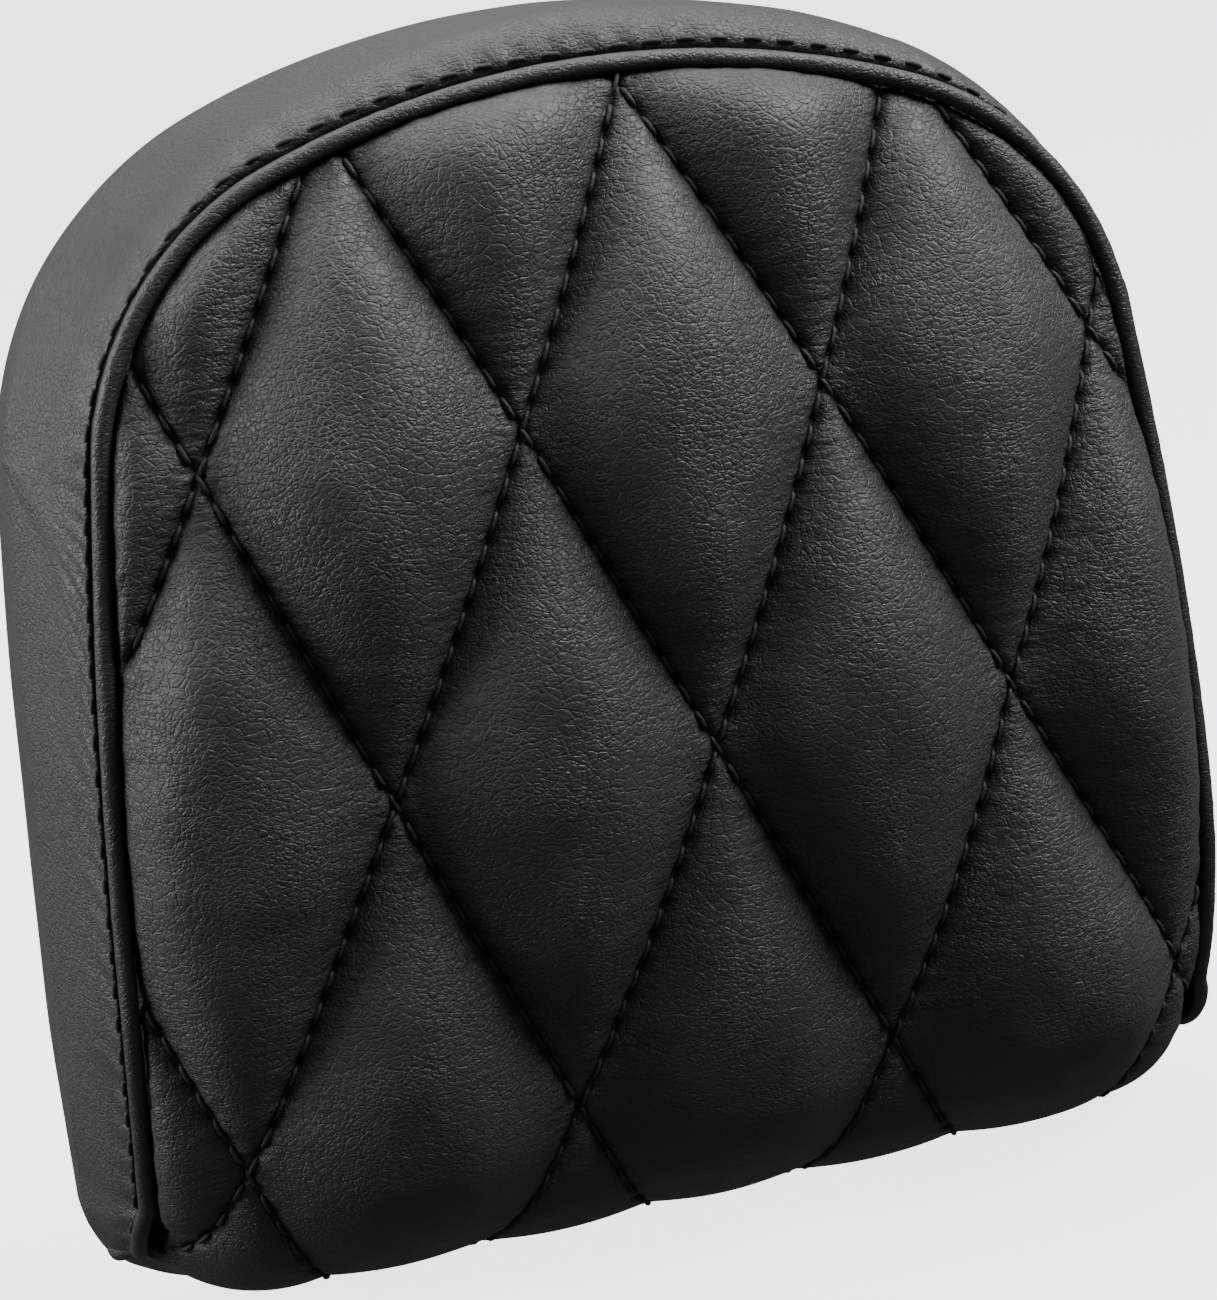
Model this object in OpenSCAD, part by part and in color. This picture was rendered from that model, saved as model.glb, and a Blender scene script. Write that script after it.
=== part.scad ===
// Passenger backrest pad for a motorcycle, quilted vinyl over foam on a moulded base.
// Frame: +X to the right and +Z up as seen from the front, front faces -Y.
// The back of the pad is the plane Y = 0 and the origin is the centre of the mounting hole pattern.

/* [Pad size] */
// Width of the pad at its widest point, near the bottom corners
pad_width = 217; // [180:1:260]
// Height of the pad from the flat bottom to the top of the arch
pad_height = 214; // [180:1:260]
// Height of the top of the arch above the mounting centre
top_above_mount = 116; // [100:1:140]

/* [Outline] */
// Radius of the wide arch along the top
top_radius = 173; // [150:1:220]
// Radius of the shoulders between the arch and the sides
shoulder_radius = 64.5; // [50:0.5:80]
// Radius of the long shallow curve down each side
side_radius = 1280; // [900:10:2000]
// Radius of the two bottom corners
corner_radius = 18; // [18:0.5:32]
// Height of the widest point above the bottom edge
widest_above_bottom = 20; // [18:0.5:30]
// Width across the line of the piping at its widest
front_width = 198.5; // [170:0.5:210]
// Distance of the piping line below the top of the arch
front_drop = 9.9; // [8:0.1:12]
// Radius of the piping line along the arch
front_top_radius = 158; // [140:1:200]
// Radius of the piping line round the shoulders
front_shoulder_radius = 53.4; // [45:0.2:70]
// Radius of the piping line down the sides
front_side_radius = 900; // [700:10:1600]
// Radius of the piping line round the bottom corners
front_corner_radius = 12; // [10:0.5:20]

/* [Depth] */
// Depth from the back to the piping at the top of the arch
depth_top = 44.5; // [38:0.5:52]
// Depth from the back to the piping at the height of the mounting centre
depth_middle = 46; // [38:0.5:52]
// Depth from the back to the piping at the bottom corners
depth_bottom = 39.5; // [34:0.5:48]
// Extra depth of the front panel at its middle
crown = 13.6; // [8:0.2:18]
// Radius of the soft shoulder between the side and the piping
soft_shoulder = 10; // [8:0.5:11]
// Depth of the soft shoulder of the boxing behind the piping
shoulder_depth = 9.5; // [8:0.5:14]
// Share of the inset that the boxing gains by leaning in, down the sides
side_lean = 0.83; // [0:0.01:0.85]
// Depth over which the boxing leans in at the bottom of the sides
side_slope = 20; // [14:0.5:24]
// Inset of the piping line where the boxing ends under each bottom corner
end_inset = 5; // [4:0.5:8]
// Distance that the piping line falls back on its way down to each bottom corner
turn_drop = 22; // [17:0.5:22]
// Height above the bottom at which the piping line starts to fall back
fall_height = 70; // [53:1:70]
// Radius of the roll where the front panel turns under the bottom edge
bottom_roll = 18; // [12:0.5:20]
// Radius of the back edge where the cover turns on to the base
back_edge_radius = 3; // [2:0.5:5]

/* [Cover] */
// Thickness of the vinyl
vinyl = 1.2; // [0.8:0.1:1.6]
// Outer diameter of the piping
piping_diameter = 3.3; // [2.8:0.1:6.5]
// Diameter of the cord inside the piping
cord_diameter = 2; // [1.5:0.1:4]
// Depth of the sewing flange below the piping
flange_depth = 8; // [6:0.5:10]
// Width of the hem turned on to the back of the base
hem_width = 11; // [9:0.5:13]
// Gap left between neighbouring soft layers
layer_gap = 0.1; // [0.05:0.05:0.3]

/* [Quilting] */
// Width of one diamond of the quilting
diamond_width = 55.3; // [45:0.1:65]
// Loss of width from one row of crossings to the next above
diamond_taper = 2.8; // [0:0.1:5]
// Height from one row of crossings to the next, half the height of a diamond
row_rise = 59.5; // [45:0.5:65]
// Loss of height that grows with the square of the row
row_loss = 1.4; // [0:0.1:3]
// Loss of height that grows with the cube of the row
row_bend = 0.4; // [0:0.1:1]
// Offset of the pattern to the right of the middle
pattern_x = 3.8; // [-6:0.1:6]
// Height of the second row of crossings, which has one on the middle line of the pattern
pattern_z = -7.8; // [-30:0.1:30]
// Diameter of the sewing thread
thread = 0.8; // [0.5:0.1:1]

/* [Padding] */
// Thickness of the quilting foam held flat under the seams
quilt_foam_thickness = 2.4; // [2:0.2:6]
// Thickness of the backing cloth that the quilting is sewn to
scrim_thickness = 0.6; // [0.4:0.1:1]
// Thickness of the sheet foam behind the side boxing
liner_thickness = 3; // [2:0.5:5]

/* [Base] */
// Distance of the base edge in from the outline of the pad
base_inset = 4.4; // [4:0.1:7]
// Thickness of the base where the hem lies on it
base_rim = 5; // [4:0.5:7]
// Depth of the rebate that takes the hem and the staples
rebate = 1.6; // [1.4:0.1:2]
// Thickness of the back panel
panel_thickness = 2.5; // [2:0.1:3.5]
// Distance of the back panel edge in from the outline of the pad
panel_inset = 9; // [8:0.5:12]
// Spacing of the mounting holes across the pad
mount_x = 89; // [60:0.5:120]
// Spacing of the mounting holes up the pad
mount_z = 64; // [50:0.5:90]
// Diameter of the bolt that each threaded insert takes
bolt_diameter = 6; // [5:0.5:8]
// Length of the threaded inserts
insert_length = 8; // [6:0.5:8]
// Diameter of the bosses that carry the inserts through the back panel
boss_diameter = 18; // [14:0.5:22]
// Diameter of the back panel screws
screw_diameter = 3.8; // [3:0.1:4.5]
// Number of staples that hold the hem
staple_count = 44; // [30:2:60]

/* [Hidden] */

black_vinyl = [0.13, 0.13, 0.14];
black_trim = [0.09, 0.09, 0.10];
thread_colour = [0.30, 0.30, 0.32];
pale_foam = [0.86, 0.84, 0.76];
grey_foam = [0.55, 0.56, 0.58];
cloth = [0.80, 0.80, 0.82];
cord_colour = [0.92, 0.92, 0.90];
plastic = [0.18, 0.18, 0.19];
brass = [0.80, 0.65, 0.30];
steel = [0.70, 0.71, 0.73];
black_steel = [0.16, 0.16, 0.17];

pad_top = top_above_mount;
pad_bottom = top_above_mount - pad_height;

// The right half of an outline is a chain of four tangent arcs, each [centre X, centre Z, radius].
function arc_chain(top, bottom, half, widest, r) =
    let (arch = [0, top - r[0]],
         side = [half - r[2], widest],
         low = bottom + r[3],
         corner = [side[0] + sqrt(pow(r[2] - r[3], 2) - pow(low - widest, 2)), low],
         line = side - arch,
         span = norm(line),
         to_arch = r[0] - r[1],
         to_side = r[2] - r[1],
         along = (span * span + to_arch * to_arch - to_side * to_side) / (2 * span),
         across = sqrt(to_arch * to_arch - along * along),
         shoulder = arch + (along * line + across * [line[1], -line[0]]) / span,
         c = [arch, shoulder, side, corner])
    [for (k = [0 : 3]) [c[k][0], c[k][1], r[k]]];

// Directions, clockwise from straight up, at which each arc hands over to the next
function chain_turns(c) = [
    0,
    atan2(c[1][0] - c[0][0], c[1][1] - c[0][1]),
    atan2(c[1][0] - c[2][0], c[1][1] - c[2][1]),
    atan2(c[3][0] - c[2][0], c[3][1] - c[2][1]),
    180
];

side_z = pad_bottom + widest_above_bottom;
ARCS = arc_chain(
    pad_top, pad_bottom, pad_width / 2, side_z,
    [top_radius, shoulder_radius, side_radius, corner_radius]);
TURNS = chain_turns(ARCS);
turn_0 = TURNS[1];
turn_1 = TURNS[2];
turn_2 = TURNS[3];
corner_x = ARCS[3][0];
FRONT_ARCS = arc_chain(
    pad_top - front_drop, pad_bottom + soft_shoulder, front_width / 2, side_z,
    [front_top_radius, front_shoulder_radius, front_side_radius, front_corner_radius]);
FRONT_TURNS = chain_turns(FRONT_ARCS);

// Direction at which the boxing ends and the front panel takes over, half way round each bottom corner
end_turn = 130;

function arc_at(turns, h) = h <= turns[1] ? 0 : h <= turns[2] ? 1 : h <= turns[3] ? 2 : 3;

// Point of a chain in direction h, set in by n
function chain_point(c, turns, h, n) =
    let (a = c[arc_at(turns, abs(h))], s = h < 0 ? -1 : 1)
    [s * (a[0] + (a[2] - n) * sin(abs(h))), a[1] + (a[2] - n) * cos(h)];

// Point of the back outline in direction h, set in by n
function edge_point(h, n) = chain_point(ARCS, TURNS, h, n);

// The same towards the front, where an inset of soft_shoulder is the line of the piping
function front_point(h, n) =
    let (s = min(1, n / soft_shoulder))
    (1 - s) * edge_point(h, 0) + s * chain_point(FRONT_ARCS, FRONT_TURNS, h, max(0, n - soft_shoulder));

// Half width inside the piping line, with n counted from the back outline, at height z
function half_width(z, n) =
    let (m = n - soft_shoulder,
         low = [for (k = [0 : 2]) FRONT_ARCS[k][1] + (FRONT_ARCS[k][2] - m) * cos(FRONT_TURNS[k + 1])],
         a = FRONT_ARCS[z > low[0] ? 0 : z > low[1] ? 1 : z > low[2] ? 2 : 3])
    a[0] + sqrt(max(0, pow(a[2] - m, 2) - pow(z - a[1], 2)));

function clamp(t) = max(0, min(1, t));
function smooth(t) = let (c = clamp(t)) c * c * (3 - 2 * c);

// Depth of the piping line and of the front panel in front of the back plane
bow = ((depth_top - depth_middle) * -pad_bottom + (depth_bottom - depth_middle) * pad_top)
      / (pad_top * -pad_bottom * (pad_top - pad_bottom));
lean = (depth_top - depth_middle) / pad_top - bow * pad_top;
crown_z = pad_bottom + pad_height / 2 - 2;
crown_w = pad_width / 2 - 8;
crown_h = pad_height / 2 - 5;
function rim_depth(z) = depth_middle + lean * z + bow * z * z;

// t where it is positive and 0 where it is negative, with a soft bend between
function soft(t) = t > 0.15 ? t : t < -0.15 ? 0 : pow(t + 0.15, 2) / 0.6;

// How far the padding has risen at distance d from the piping low on the pad
function across_share(d) = 1 - pow(1 - clamp(d / 30), 2.3);
function middle_rise(z) = crown * (1 - pow(abs(z - crown_z) / crown_h, 2.5));

// Rise of the front over the piping: a dome above, a broad roll from side to side below
function rise(x, z) =
    let (p = 2 + 1.4 * smooth((crown_z - z) / 40),
         away = pow(pow(abs(x) / crown_w, p) + pow(abs(z - crown_z) / crown_h, p), 1 / p),
         dome = crown * soft(1 - pow(away, 2.5)),
         low = middle_rise(z) * across_share(half_width(z, soft_shoulder) - abs(x)),
         share = smooth((-20 - z) / 50))
    dome * (1 - share) + low * share;

// The piping line falls back towards the bottom corners, and the panel beside it with it
function fall(z) =
    let (t = clamp((pad_bottom + fall_height - z) / (pad_bottom + fall_height - end_point[1])))
    turn_drop * (1 - sqrt(1 - t * t));
function front_depth(x, z) =
    rim_depth(z) + rise(x, z) - fall(z) * (1 - across_share(half_width(z, soft_shoulder) - abs(x)));

// 0 down to the start of the bottom corner, 1 where the boxing ends under it
function end_share(h) = clamp((abs(h) - turn_2) / (end_turn - turn_2));

// Inset and depth of the piping line, which works outwards under the bottom corner
function seam_inset(h) = soft_shoulder - (soft_shoulder - end_inset) * end_share(h);
function seam_depth(h) = let (z = front_point(h, seam_inset(h))[1]) rim_depth(z) - fall(z);

// The boxing stands straight along the arch and leans in round the shoulders and down the sides.
// Inset of the boxing at a distance g behind the piping line
function leaning(h) = 1 - pow(1 - clamp(abs(h) / 55), 1.5);
function lean_reach(h) = min(seam_depth(h) - 8, side_slope + 30 * clamp((92 - abs(h)) / 70));
function boxing_n(h, g) =
    let (lean_in = side_lean * leaning(h) * max(0, 1 - g / lean_reach(h)),
         u = clamp(1 - g / shoulder_depth))
    seam_inset(h) * (lean_in + (1 - lean_in) * (1 - sqrt(1 - u * u)));

// How far its front edge lies below the piping line
function sunk(h) = 0.6 * (1 - leaning(h));

// Rows of the front sheet are [stage, t]: 0 the front at height t, 1 round the bottom roll,
// 2 along the underside, 3 round the back edge and 4 the hem on the base, each with t from 0 to 1.
roll_start = pad_bottom + bottom_roll;
back_face = panel_thickness + 0.1;
under_end = back_face + back_edge_radius;
end_point = front_point(end_turn, end_inset);

// Share of the half width that is straight along the bottom, and of the corner past it
tuck = piping_diameter / 2 + 0.15;
function roll_edge(n) = end_point[0] + soft_shoulder - n;
straight = corner_x / roll_edge(soft_shoulder + tuck - 0.05);

// Point of the sheet's outline at inset q for fraction f across, from 0 to 1.
// The last column keeps beside the turned-under piping.
function column_point(f, q) =
    let (t = max(0, (f - straight) / (1 - straight)),
         e = edge_point(180 - t * (180 - end_turn), q))
    t > 0 ? e + t * t * tuck * [cos(end_turn), -sin(end_turn)] : [f / straight * corner_x, pad_bottom + q];

// Round the bottom, the middle line and the line at the piping each take their own bend, as [depth, z]
roll_rim = rim_depth(roll_start);
roll_middle = roll_rim + middle_rise(roll_start);
roll_tilt = atan(rim_depth(roll_start + 1) + middle_rise(roll_start + 1) - roll_middle);
roll_radius = bottom_roll / (1 - sin(roll_tilt));
function middle_bend(t, d) =
    let (a = roll_tilt + (90 - roll_tilt) * t)
    [roll_middle - roll_radius * cos(roll_tilt) + (roll_radius - d) * cos(a),
     pad_bottom + roll_radius - (roll_radius - d) * sin(a)];
function edge_bend(t, d) =
    let (z = roll_start - (roll_start - end_point[1]) * sin(90 * t))
    [rim_depth(z) - fall(z) - d * cos(90 * t), z + d * sin(90 * t)];

// Point of the sheet at fraction f across from -1 to 1, moved in by d, with its edge set in by n
function sheet_point(f, row, d, n) =
    let (stage = row[0], t = row[1], s = f < 0 ? -1 : 1, g = abs(f), b = back_edge_radius)
    stage == 0 ? let (x = f * half_width(t, n)) [x, -(front_depth(x, t) - d), t]
    : stage < 3 ?
        let (top = half_width(roll_start, n),
             w = stage == 1 ? t : 1,
             half = top + (roll_edge(n) - top) * smooth(w),
             edge = edge_bend(w, d),
             p = edge + across_share(half * (1 - g) + n - soft_shoulder) * (middle_bend(w, d) - edge),
             under = column_point(g, d),
             u = stage == 1 ? 0 : t)
        [s * (g * half * (1 - u) + under[0] * u),
         -(p[0] * (1 - u) + under_end * u),
         p[1] * (1 - u) + under[1] * u]
    : let (turned = stage == 3 ? b - (b - d) * cos(90 * t) : b + hem_width * t,
           h = stage == 3 ? under_end - (b - d) * sin(90 * t) : back_face + d,
           k = column_point(g, turned))
      [s * k[0], -h, k[1]];

// Two triangles for one cell of a grid
function cell(a, b, c, d) = [[a, b, c], [a, c, d]];

// Closed sheet between two point grids of nu + 1 by nv + 1 points
module sheet(front, back, nu, nv) {
    w = nu + 1;
    t = w * (nv + 1);
    faces = concat(
        [for (j = [0 : nv - 1], i = [0 : nu - 1]) each
            cell(j * w + i, j * w + i + 1, (j + 1) * w + i + 1, (j + 1) * w + i)],
        [for (j = [0 : nv - 1], i = [0 : nu - 1]) each
            cell(t + j * w + i, t + (j + 1) * w + i, t + (j + 1) * w + i + 1, t + j * w + i + 1)],
        [for (i = [0 : nu - 1]) each cell(i, t + i, t + i + 1, i + 1)],
        [for (i = [0 : nu - 1]) each cell(nv * w + i, nv * w + i + 1, t + nv * w + i + 1, t + nv * w + i)],
        [for (j = [0 : nv - 1]) each cell(j * w, (j + 1) * w, t + (j + 1) * w, t + j * w)],
        [for (j = [0 : nv - 1]) each
            cell(j * w + nu, t + j * w + nu, t + (j + 1) * w + nu, (j + 1) * w + nu)]);
    polyhedron(points = concat(front, back), faces = faces, convexity = 6);
}

// Closed bar through equal rings of points, with fan caps about each end ring's own middle
module bar(rings) {
    m = len(rings[0]);
    k = len(rings);
    a = [for (p = rings[0]) 1] * rings[0] / m;
    b = [for (p = rings[k - 1]) 1] * rings[k - 1] / m;
    faces = concat(
        [for (j = [0 : k - 2], i = [0 : m - 1]) each
            cell(j * m + i, j * m + (i + 1) % m, (j + 1) * m + (i + 1) % m, (j + 1) * m + i)],
        [for (i = [0 : m - 1]) [k * m, (i + 1) % m, i]],
        [for (i = [0 : m - 1]) [k * m + 1, (k - 1) * m + i, (k - 1) * m + (i + 1) % m]]);
    polyhedron(points = concat([for (r = rings) each r], [a, b]), faces = faces, convexity = 8);
}

// Closed strip with a profile of n and y values swept along the outline; both ends are quad caps
// that join the outer half of the profile to its inner half.
module outline_strip(profiles, turns) {
    m = len(profiles[0]);
    k = len(turns);
    pts = [for (j = [0 : k - 1]) each
        [for (p = profiles[j])
            let (e = p[1] < -12 ? front_point(turns[j], p[0]) : edge_point(turns[j], p[0]))
            [e[0], p[1], e[1]]]];
    faces = concat(
        [for (j = [0 : k - 2], i = [0 : m - 1]) each
            cell(j * m + i, j * m + (i + 1) % m, (j + 1) * m + (i + 1) % m, (j + 1) * m + i)],
        [for (i = [0 : m / 2 - 2]) each cell(m - 1 - i, m - 2 - i, i + 1, i)],
        [for (i = [0 : m / 2 - 2]) let (o = (k - 1) * m) each
            cell(o + i, o + i + 1, o + m - 2 - i, o + m - 1 - i)]);
    polyhedron(points = pts, faces = faces, convexity = 8);
}

// Directions along the right half of the outline, denser on the tight arcs, then mirrored.
// Round the bottom corner they crowd towards the end, where the piping line falls back steeply.
function corner_turns(first, count) =
    [for (i = [first : count]) turn_2 + (end_turn - turn_2) * sin(90 * i / count)];
right_turns = concat(
    [for (i = [0 : 5]) i * turn_0 / 6],
    [for (i = [0 : 10]) turn_0 + i * (turn_1 - turn_0) / 11],
    [for (i = [0 : 7]) turn_1 + i * (turn_2 - turn_1) / 8],
    corner_turns(0, 6));
strip_turns = concat(
    [for (i = [len(right_turns) - 1 : -1 : 1]) -right_turns[i]],
    right_turns);

// Outer line of the side from the back edge to the piping as [n, y], in direction h
function outer_side(h) =
    let (front = seam_depth(h),
         reach = lean_reach(h),
         start = 0.2 + 1.6 * leaning(h),
         last = asin(1 - start / shoulder_depth))
    concat(
        [for (f = [0.5, 1]) [0, -(under_end * (1 - f) + (front - reach) * f)]],
        [let (g = (reach + shoulder_depth) / 2) [boxing_n(h, g), -(front - g)]],
        [for (k = [0 : 5])
            let (g = shoulder_depth * (1 - sin(last * k / 5)))
            [boxing_n(h, g), -(front - g - sunk(h) * k / 5)]]);

// The same line moved in by d, with the turn round the back edge and a hem before it
function side_line(h, d, hem, stop) =
    let (y_back = -back_face - d,
         r = back_edge_radius,
         p = outer_side(h),
         m = len(p) - 1,
         slopes = [for (i = [0 : m]) let (t = p[min(m, i + 1)] - p[max(0, i - 1)]) t / norm(t)])
    concat(
        [[r + hem, y_back], [r + hem / 2, y_back], [r, y_back]],
        [for (a = [30 : 30 : 90]) [r - (r - d) * sin(a), -under_end + (r - d) * cos(a)]],
        [for (i = [0 : m - stop]) p[i] + d * [-slopes[i][1], slopes[i][0]]]);

// Closed profile of a layer from depth d to depth d + t behind the side of the cover
function side_profile(h, d, t, hem, stop, tail) =
    let (outer = side_line(h, d, hem, stop),
         inner = side_line(h, d + t, hem, stop),
         front = seam_depth(h),
         end_n = seam_inset(h) - 1,
         a = tail > 0 ? [[end_n, -front + d + 1.3], [end_n, -front + tail]] : [],
         b = tail > 0 ? [[end_n - t, -front + tail], [end_n - t, -front + d + t + 2 + 0.8 * leaning(h)]] : [])
    concat(outer, a, b, [for (i = [len(inner) - 1 : -1 : 0]) inner[i]]);

// Panel sheet rows, close together near the top of the arch
panel_inset_n = soft_shoulder + tuck - 0.05;
function front_rows(n, count) =
    let (top = pad_top - front_drop + soft_shoulder - n - 0.15)
    [for (j = [0 : count])
        [0, top - (top - roll_start) * (0.25 * j / count + 0.75 * pow(j / count, 2))]];
function roll_rows(count) = [for (j = [1 : count]) [1, j / count]];
panel_columns = 30;
padding_columns = 20;
panel_rows = concat(
    front_rows(panel_inset_n, 26),
    roll_rows(6),
    [[2, 0.33], [2, 0.67], [2, 1], [3, 0.33], [3, 0.67], [3, 1], [4, 0.5], [4, 1]]);

// Fractions across, with three of the columns kept for each bottom corner
function across(i, columns) =
    i < 3 ? -1 + i * (1 - straight) / 3
    : i > columns - 3 ? 1 - (columns - i) * (1 - straight) / 3
    : straight * ((i - 3) / (columns - 6) * 2 - 1);
function grid(rows, d, n, columns) =
    [for (row = rows, i = [0 : columns]) sheet_point(across(i, columns), row, d, n)];

module front_panel() {
    color(black_vinyl)
        sheet(
            grid(panel_rows, 0, panel_inset_n, panel_columns),
            grid(panel_rows, vinyl, panel_inset_n, panel_columns),
            panel_columns, len(panel_rows) - 1);
}

module side_boxing() {
    color(black_vinyl)
        outline_strip(
            [for (h = strip_turns)
                side_profile(h, 0, vinyl, hem_width, 0, flange_depth)],
            strip_turns);
}

// Path of the piping: down one side of the panel, over the arch and under both bottom corners
pipe_back = under_end + 1;
function pipe_end(s) =
    [for (t = [0.08, 0.18, 0.3, 0.45, 0.65, 0.85, 1])
        let (e = front_point(s * end_turn, end_inset - (end_inset - 1.4) * smooth(t * 1.6)))
        [e[0], -seam_depth(end_turn) * (1 - t) - pipe_back * t, e[1]]];
function reversed(v) = [for (i = [len(v) - 1 : -1 : 0]) v[i]];
function smoothed(p) = concat(
    [p[0]],
    [for (i = [1 : len(p) - 2]) each
        [0.25 * p[i - 1] + 0.75 * p[i], 0.75 * p[i] + 0.25 * p[i + 1]]],
    [p[len(p) - 1]]);
pipe_turns_right = concat(
    [for (i = [0 : 3]) i * turn_0 / 4],
    [for (i = [0 : 6]) turn_0 + i * (turn_1 - turn_0) / 7],
    [for (i = [0 : 3]) turn_1 + i * (turn_2 - turn_1) / 4],
    corner_turns(0, 6));
pipe_turns = concat(
    [for (i = [len(pipe_turns_right) - 1 : -1 : 1]) -pipe_turns_right[i]],
    pipe_turns_right);
pipe_front = [for (h = pipe_turns)
    let (e = front_point(h, seam_inset(h))) [e[0], -seam_depth(h) - 0.4, e[1]]];
pipe_path = smoothed(concat(reversed(pipe_end(-1)), pipe_front, pipe_end(1)));

// Side vectors carried along a path without twist
function unit(v) = v / norm(v);
function path_dir(p, i) = unit(p[min(i + 1, len(p) - 1)] - p[max(i - 1, 0)]);
function carried(p, first, i = 0, last = undef, out = []) =
    i == len(p) ? out
    : let (d = path_dir(p, i),
           s = is_undef(last) ? first : last,
           u = unit(s - (s * d) * d))
      carried(p, first, i + 1, u, concat(out, [u]));
pipe_side = carried(pipe_path, [0, 0, 1]);

// Rings of a section of [across, down] points along a path
function rings_on(p, sides, section) =
    [for (i = [0 : len(p) - 1])
        let (d = path_dir(p, i), u = sides[i], w = cross(d, u))
        [for (c = section) p[i] + c[1] * u + c[0] * w]];

module piping_cover() {
    r = piping_diameter / 2;
    q = cord_diameter / 2 + 0.05;
    half = 0.7;
    root = asin(half / r);
    around = [for (i = [0 : 8]) root + 8 + i * (360 - 2 * root - 16) / 8];
    outer = concat(
        [[half, r * cos(root)]],
        [for (a = around) [r * sin(a), r * cos(a)]],
        [[-half, r * cos(root)], [-half, r + flange_depth - 1], [half, r + flange_depth - 1]]);
    inner = concat(
        [[q * sin(24), q * cos(24)]],
        [for (a = around) [q * sin(a + (180 - a) * 0.05), q * cos(a + (180 - a) * 0.05)]],
        [[-q * sin(24), q * cos(24)], [-q * sin(8), q * cos(8)], [q * sin(8), q * cos(8)]]);
    m = len(outer);
    rings = [for (i = [0 : len(pipe_path) - 1])
        concat(rings_on([for (p = pipe_path) p], pipe_side, outer)[i],
               rings_on([for (p = pipe_path) p], pipe_side, inner)[i])];
    k = len(rings);
    w = 2 * m;
    faces = concat(
        [for (j = [0 : k - 2], i = [0 : m - 1]) each
            cell(j * w + i, (j + 1) * w + i, (j + 1) * w + (i + 1) % m, j * w + (i + 1) % m)],
        [for (j = [0 : k - 2], i = [0 : m - 1]) each
            cell(j * w + m + i, j * w + m + (i + 1) % m,
                 (j + 1) * w + m + (i + 1) % m, (j + 1) * w + m + i)],
        [for (i = [0 : m - 1]) each cell(i, (i + 1) % m, m + (i + 1) % m, m + i)],
        [for (i = [0 : m - 1]) let (o = (k - 1) * w) each
            cell(o + i, o + m + i, o + m + (i + 1) % m, o + (i + 1) % m)]);
    color(black_trim)
        polyhedron(points = [for (r = rings) each r], faces = faces, convexity = 10);
}

// Round section of n points for a cord or thread
function round_section(d, n) = [for (i = [0 : n - 1]) [d / 2 * cos(i * 360 / n), d / 2 * sin(i * 360 / n)]];

module piping_cord() {
    color(cord_colour)
        bar(rings_on(pipe_path, pipe_side, round_section(cord_diameter, 8)));
}

// Layers behind the front panel, as depths below its face
foam_top = vinyl + layer_gap;
scrim_top = foam_top + quilt_foam_thickness + layer_gap;
core_top = scrim_top + scrim_thickness + layer_gap;
padding_inset = panel_inset_n + 0.4;
padding_rows = concat(front_rows(padding_inset, 18), roll_rows(5));

// Flat layer of padding between two depths below the face of the front panel
module padding_layer(top, thickness) {
    sheet(
        grid(padding_rows, top, padding_inset, padding_columns),
        grid(padding_rows, top + thickness, padding_inset, padding_columns),
        padding_columns, len(padding_rows) - 1);
}

module quilt_foam() {
    color(pale_foam) padding_layer(foam_top, quilt_foam_thickness);
}

module quilt_scrim() {
    color(cloth) padding_layer(scrim_top, scrim_thickness);
}

// Sheet foam behind the flat of the boxing
module boxing_liner() {
    d = vinyl + layer_gap;
    t = liner_thickness;
    base_front = panel_thickness + rebate + base_rim + 0.3;
    profiles = [for (h = strip_turns)
        let (far = seam_depth(h) - base_front,
             near = min(shoulder_depth + 0.5, far - 3),
             line = [for (g = [far, (far + near) / 2, near])
                 [boxing_n(h, g) + d * 1.1, -(seam_depth(h) - g)]],
             inner = [for (p = line) p + [t, 0]])
        concat(line, [inner[2], inner[1], inner[0]])];
    color(grey_foam)
        outline_strip(profiles, strip_turns);
}

// Moulded foam block, with pockets for the fronts of the four bosses
core_turns = concat(
    [for (i = [0 : 5]) i * turn_0 / 6],
    [for (i = [0 : 7]) turn_0 + i * (turn_1 - turn_0) / 8],
    [for (i = [0 : 5]) turn_1 + i * (turn_2 - turn_1) / 6],
    [for (i = [0 : 5]) turn_2 + i * (180 - turn_2) / 5]);
core_n = vinyl + 2 * layer_gap + liner_thickness;
core_back = panel_thickness + rebate + base_rim + 0.1;
function core_ring(h) =
    let (low_share = smooth((abs(h) - 88) / 30),
         k = min(abs(h), end_turn),
         g = shoulder_depth + 2 + 4 * low_share,
         n = boxing_n(k, g) + core_n * 1.1 + 0.3,
         side = edge_point(h, core_n),
         front = front_point(h, n + low_share),
         low = front_point(h, max(n + 4, core_n + 8 + 2 * low_share)),
         f = max(core_back + 2, seam_depth(k) - g))
    [[side[0], -core_back, side[1]], [front[0], -f, front[1]], [low[0], -f - 1.5, low[1]]];
function core_front(h, s) =
    let (low_share = smooth((abs(h) - 88) / 30),
         e = front_point(h, core_n + 9.5 + 4 * low_share),
         x = e[0] * s,
         z = crown_z + (e[1] - crown_z) * s,
         back = s > 0.99 ? 4 + 3 * low_share : s > 0.9 ? 1 : 0.1)
    [x, -front_depth(x, z) + core_top + back, z];

module foam_core() {
    hs = concat(core_turns, [for (i = [len(core_turns) - 1 : -1 : 1]) -core_turns[i]]);
    m = len(hs);
    scales = [1, 0.94, 0.8, 0.6, 0.4, 0.2];
    rings = concat(
        [for (k = [0 : 2]) [for (h = hs) core_ring(h)[k]]],
        [for (s = scales) [for (h = hs) core_front(h, s)]]);
    color(pale_foam)
        bar(rings);
}

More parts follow.
